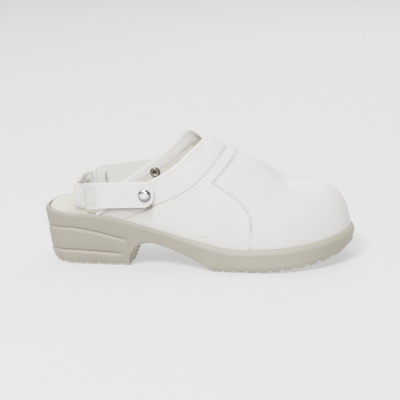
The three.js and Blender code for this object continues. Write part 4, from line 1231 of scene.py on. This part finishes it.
def bar_rings(polygon):
    """A tread bar with softened lower edges, from its outline in plan."""
    plan = array(polygon)
    away = plan - plan.mean(0)
    away /= maximum(norm(away, axis=-1, keepdims=True), 1e-6)
    rings = []
    for rise, inset in ((lug_height + 1.5, 0.0), (1.1, 0.05), (0.5, 0.35), (0.15, 0.85), (0.0, 1.5)):
        ring = plan - away * inset
        rings.append(np.column_stack([ring, tread_height(ring[:, 0]) + rise]))
    return rings


def make_tread():
    points, faces = [], []
    start = 0
    heel, fore = (2.0, breast_at - 0.5, heel_taper), (arch_front - 2, sole_length - 1, fore_taper + 1.2)
    for low, high, taper in (heel, fore):
        half = linspace(float(angle_at(low)), float(angle_at(high)), 90)
        inset = lug_inset + taper
        region = [*inset_outline(half, inset), *inset_outline(2 * pi - half[::-1], inset)]
        slope = lug_sweep / (ball_width / 2)
        x = high - lug_pitch
        while x > low - lug_sweep:
            for side in (-1, 1):
                edge = unit(array([-slope, side * 1.0]))
                across = array([edge[1] * side, -edge[0] * side])
                inner = side * channel_width / 2
                front = x + lug_pitch - lug_gap + lug_sweep
                cuts = [((x + lug_sweep, inner), across), ((front, inner), -across),
                        ((0, inner), array([0.0, side]))]
                polygon = region
                for point, normal in cuts:
                    polygon = clipped(polygon, array(point), normal) if len(polygon) > 2 else []
                if len(polygon) > 2 and area(polygon) > smallest_lug:
                    rings = bar_rings(polygon)
                    points += rings
                    faces += tube_faces(len(rings), len(polygon), start)
                    start += len(polygon) * len(rings)
            x -= lug_pitch
    piece = add_mesh("tread_bars", concatenate(points), faces, [foam], sharp=35, weld=False)
    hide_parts("sole")


def make_breast():
    """The ribbed wedge on the heel's front face."""
    rise, depth = breast_rib_rise, breast_rib_depth
    profile = [(breast_at - 2, lug_height)]
    for i in range(breast_ribs):
        z = lug_height + i * rise
        x = breast_at + breast_rib_lean * i * rise
        profile += [(x, z), (x + 0.1, z + 0.2), (x + 0.75 * depth, z + 0.4 * rise),
                    (x + depth, z + 0.55 * rise), (x + depth, z + 0.75 * rise),
                    (x + 0.6 * depth, z + 0.95 * rise)]
    top = lug_height + breast_ribs * rise
    profile += [(breast_at + breast_rib_lean * breast_ribs * rise + depth, top + 2), (breast_at - 2, top + 2)]
    x, z = array(profile).T
    rings = []
    for share, shrink in ((-0.5, 0.6), (-0.485, 0.15), (-0.47, 0.0), (0.47, 0.0), (0.485, 0.15), (0.5, 0.6)):
        rings.append(stack([x - shrink * (x > breast_at - 1), share * breast_rib_span + 0 * x, z], -1))
    piece = add_mesh("heel_breast_ribs", rings, tube_faces(len(rings), len(profile)), [foam], sharp=40)
    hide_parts("sole")


make_upper()
make_seams()
for on_lateral in (True, False):
    make_tab(on_lateral)
make_tab_stitches()
make_elastic()
make_rivets()
make_footbed()
make_sole()
make_tread()
make_breast()


# The floor and a curved backdrop, the lights and the camera

def make_backdrop():
    n = Nodes("pale_floor")
    n.colour(n.noise(3), (0.65, 0.65, 0.65), (0.63, 0.63, 0.63))
    n.join(Roughness=0.8, Specular_IOR_Level=0.2, Emission_Color=(1, 1, 1, 1), Emission_Strength=0.75)
    radius, front, back, half = 1.2, -6.0, 2.2, 7.0
    bend = [(back + radius * sin(turn), radius * (1 - cos(turn))) for turn in linspace(0, pi / 2, 13)]
    profile = [(front, 0.0), *bend, (back + radius, 6.0)]
    faces = [(2 * i, 2 * i + 1, 2 * i + 3, 2 * i + 2) for i in range(len(profile) - 1)]
    mesh = bpy.data.meshes.new("backdrop")
    mesh.from_pydata([(x, y, z) for y, z in profile for x in (-half, half)], [], faces)
    mesh.materials.append(n.material)
    mesh.polygons.foreach_set("use_smooth", np.ones(len(faces), bool))
    backdrop = bpy.data.objects.new("backdrop", mesh)
    bpy.context.scene.collection.objects.link(backdrop)


def add_light(name, position, size, power):
    """A round lamp that shines on the shoe's middle."""
    data = bpy.data.lights.new(name, "AREA")
    data.shape = "DISK"
    data.size = size
    data.energy = power
    light = bpy.data.objects.new(name, data)
    light.location = position
    light.rotation_euler = (Vector((0, 0, 0.05)) - Vector(position)).to_track_quat("-Z", "Y").to_euler()
    bpy.context.scene.collection.objects.link(light)


def make_light():
    world = bpy.data.worlds.new("studio")
    world.use_nodes = True
    background = world.node_tree.nodes["Background"]
    background.inputs["Color"].default_value = (1, 1, 1, 1)
    background.inputs["Strength"].default_value = 0.27
    bpy.context.scene.world = world
    add_light("key", (-0.48, -1.1, 1.5), 0.6, 118)
    add_light("front", (0.0, -1.75, 0.5), 0.5, 11)
    add_light("back", (0.3, 1.5, 1.0), 0.8, 22)
    add_light("top", (-0.1, 0.45, 1.7), 1.2, 38)


# The camera stands where the photograph's did: a point of the shoe's middle is seen near the picture's centre
camera_azimuth = 5.28
camera_elevation = 17.34
camera_roll = 0.01938
camera_distance = 1.1
camera_lens = 107.4
camera_sensor = 36.0
aim = (144.7, 0.0, 52.0)
aim_shift = (-0.0025, 0.003575)


def make_camera():
    a, e = radians(camera_azimuth), radians(camera_elevation)
    back = Vector((sin(a) * cos(e), -cos(a) * cos(e), sin(e)))
    flat_right = Vector((cos(a), sin(a), 0))
    flat_up = back.cross(flat_right)
    c, s = cos(camera_roll), sin(camera_roll)
    right = flat_right * c - flat_up * s
    up = flat_right * s + flat_up * c
    data = bpy.data.cameras.new("photo_view")
    data.lens = camera_lens
    data.sensor_width = camera_sensor
    data.shift_x, data.shift_y = aim_shift
    data.clip_start = 0.01
    camera = bpy.data.objects.new("photo_view", data)
    pose = Matrix((right, up, back)).transposed().to_4x4()
    pose.translation = Vector(place(aim)[0]) + back * camera_distance
    camera.matrix_world = pose
    bpy.context.scene.collection.objects.link(camera)
    bpy.context.scene.camera = camera


make_backdrop()
make_light()
make_camera()
